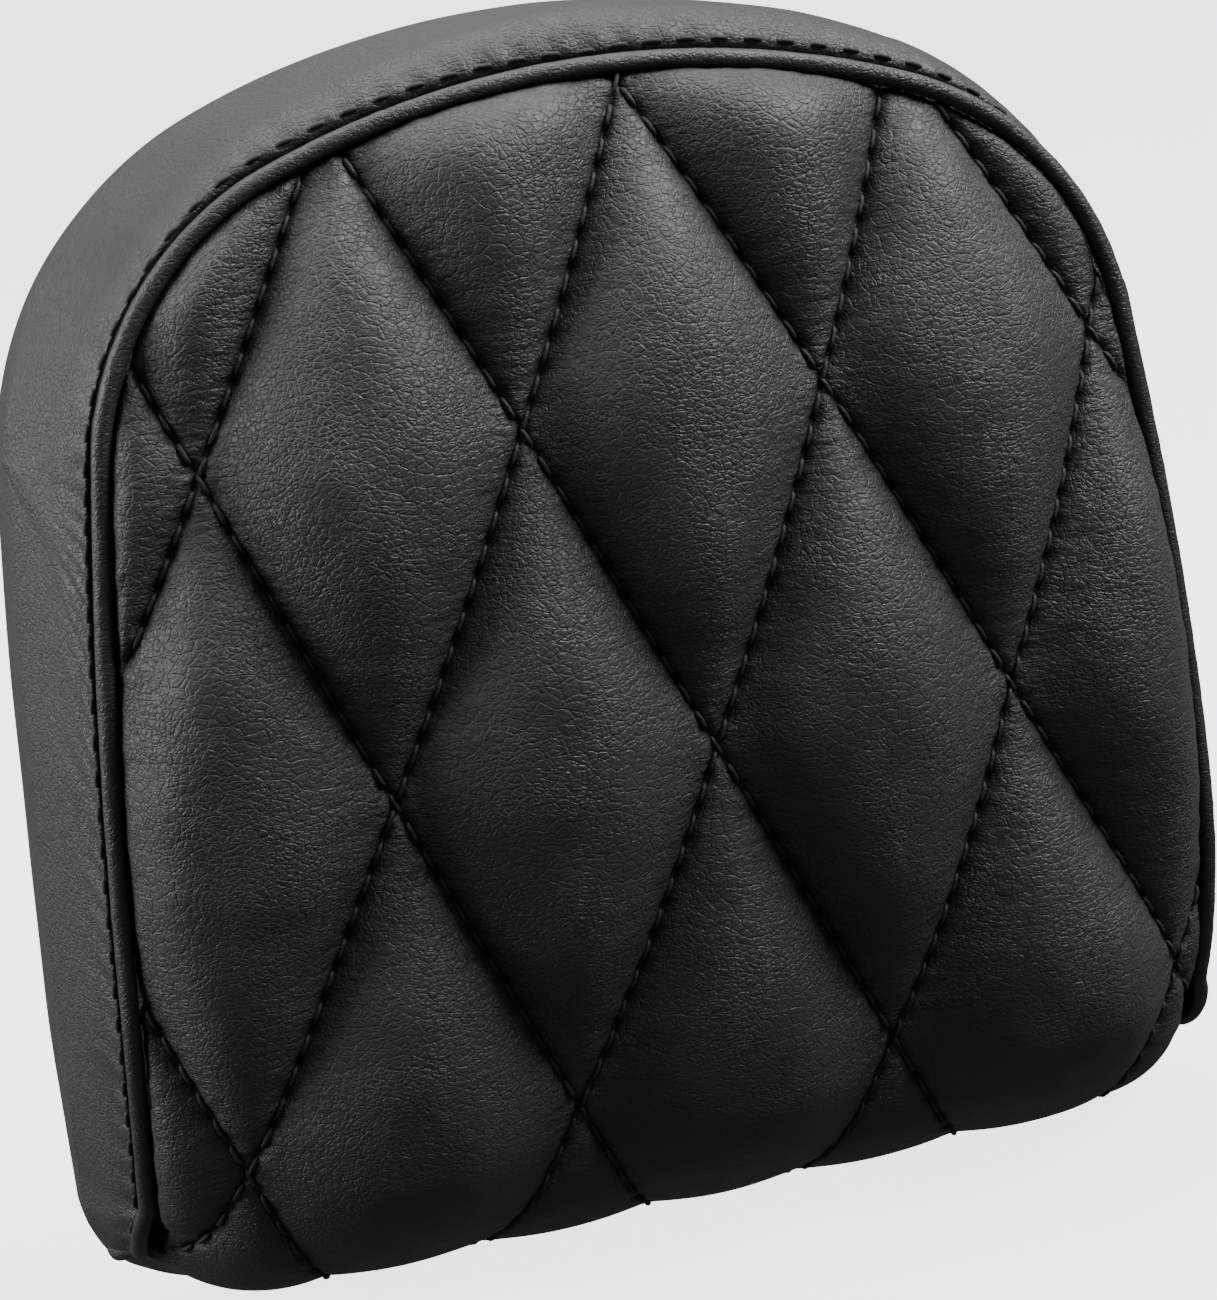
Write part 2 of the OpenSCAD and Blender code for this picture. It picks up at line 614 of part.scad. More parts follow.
// Thread laid along the quilting, one bar for each seam.
// The seams cross where r is whole: r counts the rows of crossings up the front.
roll_length = 30;
function row_height(r) = pattern_z + row_rise * r - row_loss * r * r - row_bend * (r * r * r - r);
function row_at(v) = v >= roll_start ? [0, v] : [1, (roll_start - v) / roll_length];
function seam_points(k, lean_way, lift) =
    [for (j = [0 : 90])
        let (r = 2.1 - j * 3.85 / 90,
             row = row_at(row_height(r)),
             x = pattern_x + (k + lean_way * r / 2) * (diamond_width - diamond_taper * r))
        if (row[1] < (row[0] == 0 ? pad_top - panel_inset_n - 6 : 1))
            let (half = sheet_point(1, row, 0, panel_inset_n)[0])
            if (abs(x) < half - 2) sheet_point(x / half, row, -lift, panel_inset_n)];
function thinned(p, s) = concat([for (i = [0 : s : len(p) - 2]) p[i]], [p[len(p) - 1]]);

module seams(lean_way) {
    for (k = [-4 : 4]) {
        p = seam_points(k, lean_way, thread / 2 + layer_gap);
        if (len(p) > 12) {
            q = thinned(p, 6);
            bar(rings_on(q, carried(q, [0, -1, 0]), round_section(thread, 5)));
        }
    }
}

module quilt_thread_rising() {
    color(thread_colour) seams(1);
}

module quilt_thread_falling() {
    color(thread_colour) seams(-1);
}

// Line of topstitching on the boxing, close beside the piping
module topstitch_thread() {
    p = [for (i = [2 : len(strip_turns) - 3])
        let (h = strip_turns[i],
             g = 0.3 + 2.8 * leaning(h),
             e = front_point(h, boxing_n(h, g)))
        [e[0], -seam_depth(h) + g + sunk(h) - thread / 2 - layer_gap, e[1]]];
    color(thread_colour)
        bar(rings_on(p, carried(p, [0, -1, 0]), round_section(thread, 5)));
}

// Hidden line of thread that joins the boxing, the piping flange and the front panel
module seam_thread() {
    p = [for (i = [1 : len(strip_turns) - 2])
        let (h = strip_turns[i], e = front_point(h, seam_inset(h) + 0.7 + thread / 2 + 0.1))
        [e[0], -seam_depth(h) + 4.5, e[1]]];
    color(thread_colour)
        bar(rings_on(p, carried(p, [0, -1, 0]), round_section(thread, 5)));
}

// Outline of the pad set in by n, drawn with X across and Z up the page
plate_steps = [8, 26, 6, 24];
plate_turns = [for (k = [0 : 3], i = [0 : plate_steps[k] - 1])
    TURNS[k] + (i + (k == 3 ? 1 : 0)) * (TURNS[k + 1] - TURNS[k]) / plate_steps[k]];
module outline(n) {
    half = [for (h = plate_turns) edge_point(h, n)];
    polygon(concat(half, [for (i = [len(half) - 1 : -1 : 1]) [-half[i][0], half[i][1]]]));
}

// Plate of the outline between two depths in front of the back plane
module plate(n, from, to) {
    translate([0, -from, 0])
        rotate([90, 0, 0])
            linear_extrude(height = to - from) outline(n);
}

module rod(x, z, d, from, to, sides = 48) {
    translate([x, -from, z])
        rotate([90, 0, 0])
            cylinder(h = to - from, d = d, $fn = sides);
}

mounts = [for (x = [-1, 1], z = [-1, 1]) [x * mount_x / 2, z * mount_z / 2]];
screw_inset = panel_inset + 12;
screw_spots = concat(
    [edge_point(0, screw_inset), [0, pad_bottom + screw_inset]],
    [for (s = [-1, 1]) each [
        edge_point(s * 50, screw_inset),
        [s * (half_width(0, screw_inset)), 0],
        [s * (corner_x - 6), pad_bottom + screw_inset]]]);
screw_length = 7.4;
screw_head = 7.4;
hem_face = panel_thickness + rebate;
base_front = hem_face + base_rim;

// Staples stand at even spacing round the hem, each [x, z, turn]
staple_inset = back_edge_radius + hem_width - 5;
bottom_staples = 10;
upper_staples = staple_count - bottom_staples;
// Length along the inset outline up to each hand-over
run = [for (k = [0 : 3]) (ARCS[k][2] - staple_inset) * (TURNS[k + 1] - TURNS[k]) * PI / 180];
run_total = run[0] + run[1] + run[2] + run[3] * 0.8;
function turn_at(s) =
    s < run[0] ? TURNS[0] + s / run[0] * (TURNS[1] - TURNS[0])
    : s < run[0] + run[1] ? TURNS[1] + (s - run[0]) / run[1] * (TURNS[2] - TURNS[1])
    : s < run[0] + run[1] + run[2] ? TURNS[2] + (s - run[0] - run[1]) / run[2] * (TURNS[3] - TURNS[2])
    : TURNS[3] + (s - run[0] - run[1] - run[2]) / run[3] * (TURNS[4] - TURNS[3]);
staple_spots = concat(
    [for (i = [0 : upper_staples - 1])
        let (s = ((i + 0.5) / upper_staples * 2 - 1) * run_total,
             h = (s < 0 ? -1 : 1) * turn_at(abs(s)),
             e = edge_point(h, staple_inset))
        [e[0], e[1], h]],
    [for (i = [0 : bottom_staples - 1])
        [(i - (bottom_staples - 1) / 2) * 2 * corner_x / bottom_staples, pad_bottom + staple_inset, 180]]);
staple_crown = 10;
staple_leg = 5;
staple_wire = 0.7;

module staple(clearance) {
    c = clearance;
    w = staple_wire + 2 * c;
    top = hem_face - vinyl - 0.1 - staple_wire;
    for (s = [-1, 1])
        translate([s * (staple_crown - staple_wire) / 2 - w / 2, -(top + staple_leg + c), -w / 2])
            cube([w, staple_leg + c, w]);
    if (c == 0)
        translate([-staple_crown / 2, -(top + staple_wire), -staple_wire / 2])
            cube([staple_crown, staple_wire, staple_wire]);
}

module at_staples(clearance) {
    for (p = staple_spots)
        translate([p[0], 0, p[1]])
            rotate([0, p[2], 0]) staple(clearance);
}

module base_plate() {
    color(plastic)
        difference() {
            union() {
                plate(base_inset, hem_face, base_front);
                plate(back_edge_radius + hem_width + 1.5, panel_thickness, hem_face + 1);
                for (p = mounts)
                    rod(p[0], p[1], boss_diameter, 0, base_front);
            }
            for (p = mounts)
                rod(p[0], p[1], bolt_diameter + 3.5, -1, insert_length);
            for (p = screw_spots)
                rod(p[0], p[1], screw_diameter, 0, screw_length + 0.8);
            at_staples(0.02);
        }
}

module threaded_inserts() {
    color(brass)
        for (p = mounts)
            difference() {
                rod(p[0], p[1], bolt_diameter + 3.5, 0, insert_length);
                rod(p[0], p[1], bolt_diameter, -1, insert_length + 1);
            }
}

module staples() {
    color(steel) at_staples(0);
}

module back_panel() {
    color(plastic)
        difference() {
            union() {
                plate(panel_inset, 0.6, panel_thickness);
                plate(panel_inset + 0.8, 0, 0.8);
            }
            for (p = mounts)
                rod(p[0], p[1], boss_diameter + 0.6, -1, panel_thickness + 1);
            for (p = screw_spots) {
                rod(p[0], p[1], screw_diameter + 0.6, -1, panel_thickness + 1);
                rod(p[0], p[1], screw_head + 0.6, -1, 1.2);
            }
        }
}

module back_panel_screws() {
    color(black_steel)
        for (p = screw_spots)
            difference() {
                union() {
                    rod(p[0], p[1], screw_diameter, 1.1, screw_length);
                    rod(p[0], p[1], screw_head, 0.1, 1.2);
                }
                for (a = [0, 90])
                    translate([p[0], 0, p[1]])
                        rotate([0, a + 45, 0])
                            cube([4.2, 2.4, 0.9], center = true);
            }
}

front_panel();
side_boxing();
piping_cover();
piping_cord();
quilt_foam();
quilt_scrim();
boxing_liner();
foam_core();
quilt_thread_rising();
quilt_thread_falling();
topstitch_thread();
seam_thread();
base_plate();
threaded_inserts();
staples();
back_panel();
back_panel_screws();
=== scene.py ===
"""Looks of the quilted backrest pad: vinyl cover, piping, stitching, moulded back and studio.

Lengths are in millimetres, and angles in degrees, until a mesh is made.
"""

import math

import bpy
import numpy as np
from mathutils import Matrix, Vector


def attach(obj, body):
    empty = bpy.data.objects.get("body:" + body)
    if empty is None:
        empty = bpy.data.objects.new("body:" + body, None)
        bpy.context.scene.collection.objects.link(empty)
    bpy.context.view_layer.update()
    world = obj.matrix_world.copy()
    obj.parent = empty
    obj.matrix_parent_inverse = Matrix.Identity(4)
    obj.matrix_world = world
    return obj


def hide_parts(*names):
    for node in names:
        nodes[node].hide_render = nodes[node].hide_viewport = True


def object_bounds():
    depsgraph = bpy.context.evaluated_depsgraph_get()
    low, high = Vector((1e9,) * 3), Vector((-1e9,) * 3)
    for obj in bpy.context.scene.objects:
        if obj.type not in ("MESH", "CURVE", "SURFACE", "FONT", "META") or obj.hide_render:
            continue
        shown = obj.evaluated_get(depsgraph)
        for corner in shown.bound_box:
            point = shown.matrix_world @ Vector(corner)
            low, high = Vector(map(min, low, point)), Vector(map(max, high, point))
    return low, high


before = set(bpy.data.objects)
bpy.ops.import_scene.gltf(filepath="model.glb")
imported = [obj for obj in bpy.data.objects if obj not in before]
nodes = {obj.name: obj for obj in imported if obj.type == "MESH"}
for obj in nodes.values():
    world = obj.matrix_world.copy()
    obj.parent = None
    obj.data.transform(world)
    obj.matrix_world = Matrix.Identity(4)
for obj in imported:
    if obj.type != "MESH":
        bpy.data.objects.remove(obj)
cad_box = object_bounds()

# ---------------------------------------------------------------- sizes, as in the CAD

WIDTH, HEIGHT, TOP = 217.0, 214.0, 116.0
BOTTOM = TOP - HEIGHT
RADII = np.array([173.0, 64.5, 1280.0, 18.0])
WIDEST = 20.0
FRONT_WIDTH, FRONT_DROP = 198.5, 9.9
FRONT_RADII = np.array([158.0, 53.4, 900.0, 12.0])
DEPTH_TOP, DEPTH_MIDDLE, DEPTH_BOTTOM = 44.5, 46.0, 39.5
CROWN = 13.6
SHOULDER = 10.0
ROLL = 18.0
BACK_EDGE = 3.0
HEM = 11.0
BACK_FACE = 2.6
UNDER_END = BACK_FACE + BACK_EDGE
PIPING = 1.65
END_TURN = 130.0
END_INSET = 5.0
TURN_DROP = 22.0
FALL_TOP = BOTTOM + 70.0
STITCH = 5.7
THREAD = 0.42


def sin(a):
    return np.sin(np.radians(a))


def cos(a):
    return np.cos(np.radians(a))


def smooth(t):
    t = np.clip(t, 0, 1)
    return t * t * (3 - 2 * t)


def arc_chain(top, bottom, half, radii):
    """Centres of the four tangent arcs of the right half of an outline, and where each one ends."""
    r_top, r_shoulder, r_side, r_corner = radii
    arch = np.array([0.0, top - r_top])
    side = np.array([half - r_side, BOTTOM + WIDEST])
    corner_z = bottom + r_corner
    corner = np.array([side[0] + math.sqrt((r_side - r_corner) ** 2 - (corner_z - side[1]) ** 2), corner_z])
    line = side - arch
    span = np.hypot(*line)
    to_arch, to_side = r_top - r_shoulder, r_side - r_shoulder
    along = (span ** 2 + to_arch ** 2 - to_side ** 2) / (2 * span)
    across = math.sqrt(to_arch ** 2 - along ** 2)
    shoulder = arch + (along * line + across * np.array([line[1], -line[0]])) / span
    pairs = ((arch, shoulder), (side, shoulder), (side, corner))
    turns = [math.degrees(math.atan2(*(b - a))) for a, b in pairs]
    return np.array([arch, shoulder, side, corner]), np.array(turns)


CENTRES, TURNS = arc_chain(TOP, BOTTOM, WIDTH / 2, RADII)
FRONT_CENTRES, FRONT_TURNS = arc_chain(TOP - FRONT_DROP, BOTTOM + SHOULDER, FRONT_WIDTH / 2, FRONT_RADII)
CORNER_X, CORNER_Z = CENTRES[3]


def chain_point(centres, turns, radii, h, n):
    k = np.searchsorted(turns, np.abs(h))
    r = radii[k] - n
    return np.sign(h) * (centres[k, 0] + r * sin(np.abs(h))), centres[k, 1] + r * cos(h)


def edge_point(h, n):
    """Point of the back outline in direction h, clockwise from straight up, set in by n."""
    return chain_point(CENTRES, TURNS, RADII, np.asarray(h, float), n)


def front_point(h, n):
    """The same towards the front, where an inset of SHOULDER is the line of the piping."""
    h = np.asarray(h, float)
    s = np.minimum(1, n / SHOULDER)
    x0, z0 = edge_point(h, 0)
    x1, z1 = chain_point(FRONT_CENTRES, FRONT_TURNS, FRONT_RADII, h, np.maximum(0, n - SHOULDER))
    return (1 - s) * x0 + s * x1, (1 - s) * z0 + s * z1


def half_width(z, n):
    """Half width inside the piping line at height z, with n counted from the back outline."""
    z, m = np.asarray(z, float), n - SHOULDER
    low = FRONT_CENTRES[:3, 1] + (FRONT_RADII[:3] - m) * cos(FRONT_TURNS)
    k = np.where(z > low[0], 0, np.where(z > low[1], 1, np.where(z > low[2], 2, 3)))
    beyond = (FRONT_RADII[k] - m) ** 2 - (z - FRONT_CENTRES[k, 1]) ** 2
    return FRONT_CENTRES[k, 0] + np.sqrt(np.maximum(0, beyond))


def inset_of(x, z):
    """How far a point of the front lies inside the outline."""
    x = np.abs(x)
    out = np.full(x.shape, 99.0)
    previous = 0.0
    for k in range(3):
        dx, dz = x - FRONT_CENTRES[k, 0], z - FRONT_CENTRES[k, 1]
        h = np.degrees(np.arctan2(dx, dz))
        here = (h >= previous) & (h <= FRONT_TURNS[k])
        out = np.where(here, np.minimum(out, SHOULDER + FRONT_RADII[k] - np.hypot(dx, dz)), out)
        previous = FRONT_TURNS[k]
    return out


def end_share(h):
    """0 down to the start of the bottom corner, 1 where the boxing ends under it."""
    return np.clip((np.abs(h) - TURNS[2]) / (END_TURN - TURNS[2]), 0, 1)


def seam_inset(h):
    """Inset of the piping line, which works outwards under the bottom corner."""
    return SHOULDER - (SHOULDER - END_INSET) * end_share(h)


def seam_depth(h):
    """Depth of the piping line, which falls back on its way down to the bottom corner."""
    _, z = front_point(h, seam_inset(h))
    return rim_depth(z) - fall(z)


BOW = (((DEPTH_TOP - DEPTH_MIDDLE) * -BOTTOM + (DEPTH_BOTTOM - DEPTH_MIDDLE) * TOP)
       / (TOP * -BOTTOM * (TOP - BOTTOM)))
LEAN = (DEPTH_TOP - DEPTH_MIDDLE) / TOP - BOW * TOP
CROWN_Z = BOTTOM + HEIGHT / 2 - 2


def rim_depth(z):
    return DEPTH_MIDDLE + LEAN * z + BOW * z * z


def soft(t):
    """t where it is positive and 0 where it is negative, with a soft bend between."""
    return np.where(t > 0.15, t, np.where(t < -0.15, 0, (t + 0.15) ** 2 / 0.6))


def across_share(d):
    """How far the padding has risen at distance d from the piping low on the pad."""
    return 1 - (1 - np.clip(d / 30, 0, 1)) ** 2.3


def middle_rise(z):
    return CROWN * (1 - (np.abs(z - CROWN_Z) / (HEIGHT / 2 - 5)) ** 2.5)


def front_rise(x, z):
    """Rise of the valley level over the piping: a dome above, a broad roll from side to side below."""
    power = 2 + 1.4 * smooth((CROWN_Z - z) / 40)
    beside = np.abs(x) / (WIDTH / 2 - 8)
    above = np.abs(z - CROWN_Z) / (HEIGHT / 2 - 5)
    away = (beside ** power + above ** power) ** (1 / power)
    dome = CROWN * soft(1 - away ** 2.5)
    low = middle_rise(np.maximum(z, BOTTOM)) * across_share(half_width(z, SHOULDER) - np.abs(x))
    share = smooth((-20 - z) / 50)
    return dome * (1 - share) + low * share


END_X, END_Z = (float(a) for a in front_point(END_TURN, END_INSET))


def fall(z):
    """How far the piping line has fallen back at height z."""
    t = np.clip((FALL_TOP - z) / (FALL_TOP - END_Z), 0, 1)
    return TURN_DROP * (1 - np.sqrt(1 - t * t))


def front_depth(x, z):
    beside = 1 - across_share(half_width(np.maximum(z, BOTTOM + SHOULDER + 1), SHOULDER) - np.abs(x))
    return rim_depth(z) + front_rise(x, z) - fall(z) * beside


# ---------------------------------------------------------------- noise

def noise(u, v, seed):
    """Smooth noise from -1 to 1 over a grid of unit cells."""
    table = np.random.RandomState(seed).uniform(-1, 1, (64, 64))
    iu, iv = np.floor(u).astype(int), np.floor(v).astype(int)
    fu, fv = smooth(u - iu), smooth(v - iv)

    def corner(a, b):
        return table[(iu + a) % 64, (iv + b) % 64]

    low = corner(0, 0) * (1 - fu) + corner(1, 0) * fu
    high = corner(0, 1) * (1 - fu) + corner(1, 1) * fu
    return low * (1 - fv) + high * fv


# ---------------------------------------------------------------- meshes

def make_mesh(name, points, faces):
    """Object from points in millimetres and an array of faces of equal size."""
    points, faces = np.asarray(points, float) / 1000, np.asarray(faces)
    count, size = faces.shape
    mesh = bpy.data.meshes.new(name)
    mesh.vertices.add(len(points))
    mesh.vertices.foreach_set("co", points.ravel())
    mesh.loops.add(count * size)
    mesh.loops.foreach_set("vertex_index", faces.ravel())
    mesh.polygons.add(count)
    mesh.polygons.foreach_set("loop_start", np.arange(count) * size)
    mesh.polygons.foreach_set("loop_total", np.full(count, size))
    mesh.polygons.foreach_set("use_smooth", np.ones(count, bool))
    mesh.update(calc_edges=True)
    mesh.validate()
    obj = bpy.data.objects.new(name, mesh)
    bpy.context.scene.collection.objects.link(obj)
    return obj


def grid_faces(rows, columns, closed=False):
    """Quads between points kept row by row; closed joins the last column to the first."""
    j, i = np.meshgrid(np.arange(rows - 1), np.arange(columns if closed else columns - 1), indexing="ij")
    k = (i + 1) % columns
    near, far = j * columns, (j + 1) * columns
    return np.stack([near + i, near + k, far + k, far + i], -1).reshape(-1, 4)


def piece(obj, material, slot, *replaced):
    obj.data.materials.append(material)
    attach(obj, "root")
    if replaced:
        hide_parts(*replaced)
    return obj


def unit(v):
    return v / np.maximum(1e-9, np.linalg.norm(v, axis=-1, keepdims=True))


def add_attribute(obj, name, values):
    obj.data.attributes.new(name, "FLOAT", "POINT").data.foreach_set("value", np.asarray(values, np.float32))


# ---------------------------------------------------------------- front panel

# The front sheet is unrolled to x across and v up: v is the height on the front, and goes on
# falling round the bottom roll, along the underside, round the back edge and over the hem.
PANEL_EDGE = 10.6
ROLL_TOP = BOTTOM + ROLL
LENGTHS = np.array([30.0, 15.0, 4.7, HEM])
ROLL_EDGE = END_X + SHOULDER - PANEL_EDGE
TUCK = 1.8


def panel_half(v):
    """Half width of the unrolled sheet."""
    front = half_width(np.maximum(v, ROLL_TOP), PANEL_EDGE)
    start = float(half_width(ROLL_TOP, PANEL_EDGE))
    return np.where(v >= ROLL_TOP, front, start + (ROLL_EDGE - start) * smooth((ROLL_TOP - v) / LENGTHS[0]))


def column_point(g, q):
    """Point at inset q from the bottom outline, for fraction g of the half width."""
    straight = CORNER_X / ROLL_EDGE
    t = np.maximum(0, (g - straight) / (1 - straight))
    turn = 180 - t * (180 - END_TURN)
    tuck = t * t * TUCK
    x = CORNER_X + (RADII[3] - q) * sin(turn) + tuck * cos(END_TURN)
    z = CORNER_Z + (RADII[3] - q) * cos(turn) - tuck * sin(END_TURN)
    return np.where(t > 0, x, g / straight * CORNER_X), np.where(t > 0, z, BOTTOM + q)


def panel_base(x, v):
    """Valley level of the front sheet in space."""
    half = panel_half(v)
    g = np.minimum(1, np.abs(x) / half)
    side = np.where(x < 0, -1.0, 1.0)
    front = np.stack([np.abs(x), -front_depth(np.abs(x), v), v], -1)
    # Round the bottom: the middle line and the line at the piping each take their own bend
    u = ROLL_TOP - v
    ends = np.cumsum(LENGTHS)
    roll_t = np.clip(u / ends[0], 0, 1)
    under_t = np.clip((u - ends[0]) / LENGTHS[1], 0, 1)
    turn_t = np.clip((u - ends[1]) / LENGTHS[2], 0, 1)
    hem_t = np.clip((u - ends[2]) / LENGTHS[3], 0, 1)
    start = rim_depth(ROLL_TOP)
    crown = middle_rise(ROLL_TOP)
    slope = (rim_depth(ROLL_TOP + 1) + middle_rise(ROLL_TOP + 1) - start - crown)
    tilt = math.atan(slope)
    r = ROLL / (1 - math.sin(tilt))
    a = tilt + (math.pi / 2 - tilt) * roll_t
    middle = np.stack([start + crown - r * (math.cos(tilt) - np.cos(a)), BOTTOM + r * (1 - np.sin(a))], -1)
    edge_z = ROLL_TOP - (ROLL_TOP - END_Z) * sin(90 * roll_t)
    edge = np.stack([rim_depth(edge_z) - fall(edge_z), edge_z], -1)
    share = across_share(half * (1 - g) + PANEL_EDGE - SHOULDER)[:, None]
    rolled = edge + (middle - edge) * share
    under_x, under_z = column_point(g, BACK_EDGE * (1 - cos(90 * turn_t)) + HEM * hem_t)
    low_x = np.abs(x) * (1 - under_t) + under_x * under_t
    low_z = rolled[:, 1] * (1 - under_t) + under_z * under_t
    depth = rolled[:, 0] * (1 - under_t) + (UNDER_END - BACK_EDGE * sin(90 * turn_t)) * under_t
    low = np.stack([low_x, -depth, low_z], -1)
    out = np.where((v >= ROLL_TOP)[:, None], front, low)
    out[:, 0] *= side
    return out


def panel_frame(x, v):
    """Valley level and outward normal."""
    p = panel_base(x, v)
    e = 0.6
    du = panel_base(x + e, v) - panel_base(x - e, v)
    dv = panel_base(x, v + e) - panel_base(x, v - e)
    return p, unit(np.cross(du, dv))


# The quilting lines cross at (i, r): every whole i on even rows r, half way between on odd rows.
PATTERN_X, PATTERN_Z = 3.8, -7.8
DIAMOND, DIAMOND_TAPER = 55.3, 2.8
ROW_RISE, ROW_LOSS, ROW_BEND = 59.5, 1.4, 0.4


def lattice_x(i, r):
    return PATTERN_X + i * (DIAMOND - DIAMOND_TAPER * r)


def lattice_v(r):
    return PATTERN_Z + ROW_RISE * r - ROW_LOSS * r ** 2 - ROW_BEND * (r ** 3 - r)


def seam_run(r):
    """Length along a quilting seam from row 0 to row r."""
    steps = np.linspace(-3, 3, 1201)
    dx = (DIAMOND - DIAMOND_TAPER * steps) / 2
    dv = ROW_RISE - 2 * ROW_LOSS * steps - ROW_BEND * (3 * steps ** 2 - 1)
    run = np.concatenate([[0], np.cumsum(np.hypot(dx, dv)[:-1] * np.diff(steps))])
    return np.interp(r, steps, run - np.interp(0, steps, run))


SEAM_GAP = 50.0
CELLS = 48


def panel_inset(x, v):
    """Distance of a point of the unrolled sheet from the outline, past the piping."""
    return np.where(v > ROLL_TOP + 6, inset_of(x, v), PANEL_EDGE + panel_half(v) - np.abs(x))


def pillow(i, r, x, v):
    """Height of the padding over the valley level."""
    a, b = i - r / 2, i + r / 2
    near_a, near_b = a - np.round(a), b - np.round(b)
    s_a, s_b = 2 * np.abs(near_a), 2 * np.abs(near_b)
    d_a, d_b = s_a * SEAM_GAP / 2, s_b * SEAM_GAP / 2
    inset = panel_inset(x, v)
    edge = np.clip((inset - PANEL_EDGE) / 16, 0, 1)
    rise = 1 - (1 - edge) ** 3
    under = 1 - 0.8 * smooth((-70 - v) / 24) - 0.2 * smooth((-118 - v) / 12)

    def bulge(s):
        return 1 - (1 - s) ** 2.7

    dome = 9.4 * bulge(s_a) * bulge(s_b)
    height = dome * rise * under
    # Sunken line at the piping
    height -= 2.6 * (1 - smooth((inset - PANEL_EDGE) / 2.2)) * smooth((v - ROLL_TOP + 24) / 12)
    # Small scallops beside the piping
    from_piping = np.maximum(0, inset - PANEL_EDGE - 1.5)
    height += 0.5 * noise(x / 2.8 + 7, v / 2.8 + 2, 43) * np.exp(-from_piping / 2.0)
    # Each stitch pulls the valley down, and small gathers run off the seams between the stitches
    run = seam_run(r)
    for d, offset, away, seed in ((d_a, 0.0, near_a, 11), (d_b, 0.5, near_b, 23)):
        phase = (run + offset * STITCH) / STITCH
        pull = np.cos(2 * np.pi * phase)
        height -= (0.35 + 0.35 * pull) * np.exp(-(d / 1.1) ** 2)
        gather = noise(phase * 1.6 + 40, d / 7 + seed + 3 * np.sign(away), seed)
        height += 0.34 * gather * np.exp(-d / 5.5) * (1 - np.exp(-(d / 1.3) ** 2)) * rise * under
    # Slow unevenness of the stuffing
    lumps = 0.5 * noise(x / 17 + 9, v / 21 + 5, 31) + 0.25 * noise(x / 8 + 3, v / 9 + 8, 37)
    height += lumps * rise * under * bulge(s_a) * bulge(s_b)
    return height


def build_panel(cells):
    """Triangles whose edges follow the quilting lines; returns points and faces."""
    i_cells = np.arange(int(-2.3 * 2 * cells), int(2.3 * 2 * cells) + 1)
    r_cells = np.arange(int(-2.45 * cells), int(2.2 * cells) + 1)
    ci, cr = np.meshgrid(i_cells, r_cells)
    i, r = ci / (2 * cells), cr / cells
    x, v = lattice_x(i, r), lattice_v(r)
    v_end = ROLL_TOP - LENGTHS.sum()

    def inside(px, pv):
        return (np.abs(px) < panel_half(pv)) & (pv < TOP - FRONT_DROP + SHOULDER - PANEL_EDGE) & (pv > v_end)

    mid_x = (x[:-1, :-1] + x[1:, 1:]) / 2
    mid_v = (v[:-1, :-1] + v[1:, 1:]) / 2
    keep = inside(mid_x, mid_v)
    rows, columns = ci.shape
    index = np.arange(rows * columns).reshape(rows, columns)
    p00, p10, p01, p11 = (index[:-1, :-1], index[:-1, 1:], index[1:, :-1], index[1:, 1:])
    falling = ((ci + cr + 1)[:-1, :-1] % (2 * cells)) == 0
    one = np.where(falling[..., None], np.stack([p00, p10, p01], -1), np.stack([p00, p10, p11], -1))
    two = np.where(falling[..., None], np.stack([p10, p11, p01], -1), np.stack([p00, p11, p01], -1))
    faces = np.concatenate([one[keep], two[keep]])
    # Points on the border move on to the true edge
    touched = np.zeros((rows, columns), int)
    for a, b in ((0, 0), (0, 1), (1, 0), (1, 1)):
        touched[a:rows - 1 + a, b:columns - 1 + b] += keep
    border = (touched > 0) & (touched < 4)
    h = np.linspace(-END_TURN + 2, END_TURN - 2, 6000)
    ex, ez = front_point(h, PANEL_EDGE)
    low_v = np.linspace(ROLL_TOP, v_end, 400)
    flat_x = np.linspace(-ROLL_EDGE, ROLL_EDGE, 1200)
    line = np.concatenate([
        np.stack([ex, ez], -1)[ez > ROLL_TOP],
        np.stack([panel_half(low_v), low_v], -1), np.stack([-panel_half(low_v), low_v], -1),
        np.stack([flat_x, np.full(1200, v_end)], -1)])
    for j, k in zip(*np.nonzero(border)):
        near = np.argmin((line[:, 0] - x[j, k]) ** 2 + (line[:, 1] - v[j, k]) ** 2)
        x[j, k], v[j, k] = line[near]
    used, faces = np.unique(faces, return_inverse=True)
    return i.ravel()[used], r.ravel()[used], x.ravel()[used], v.ravel()[used], faces.reshape(-1, 3)


def quilted_panel(material):
    i, r, x, v, faces = build_panel(CELLS)
    base, normal = panel_frame(x, v)
    height = pillow(i, r, x, v)
    panel = make_mesh("quilted_front", base + normal * height[:, None], faces)
    a, b = i - r / 2, i + r / 2
    add_attribute(panel, "seam_a", np.abs(a - np.round(a)) * SEAM_GAP)
    add_attribute(panel, "seam_b", np.abs(b - np.round(b)) * SEAM_GAP)
    add_attribute(panel, "strip_a", a)
    add_attribute(panel, "strip_b", b)
    add_attribute(panel, "stitch", seam_run(r) / STITCH)
    add_attribute(panel, "crevice", np.where(v > ROLL_TOP - 22, panel_inset(x, v) - PANEL_EDGE, 9.0))
    return piece(panel, material, "black_vinyl", "front_panel", "quilt_foam", "quilt_scrim")


# ---------------------------------------------------------------- side boxing

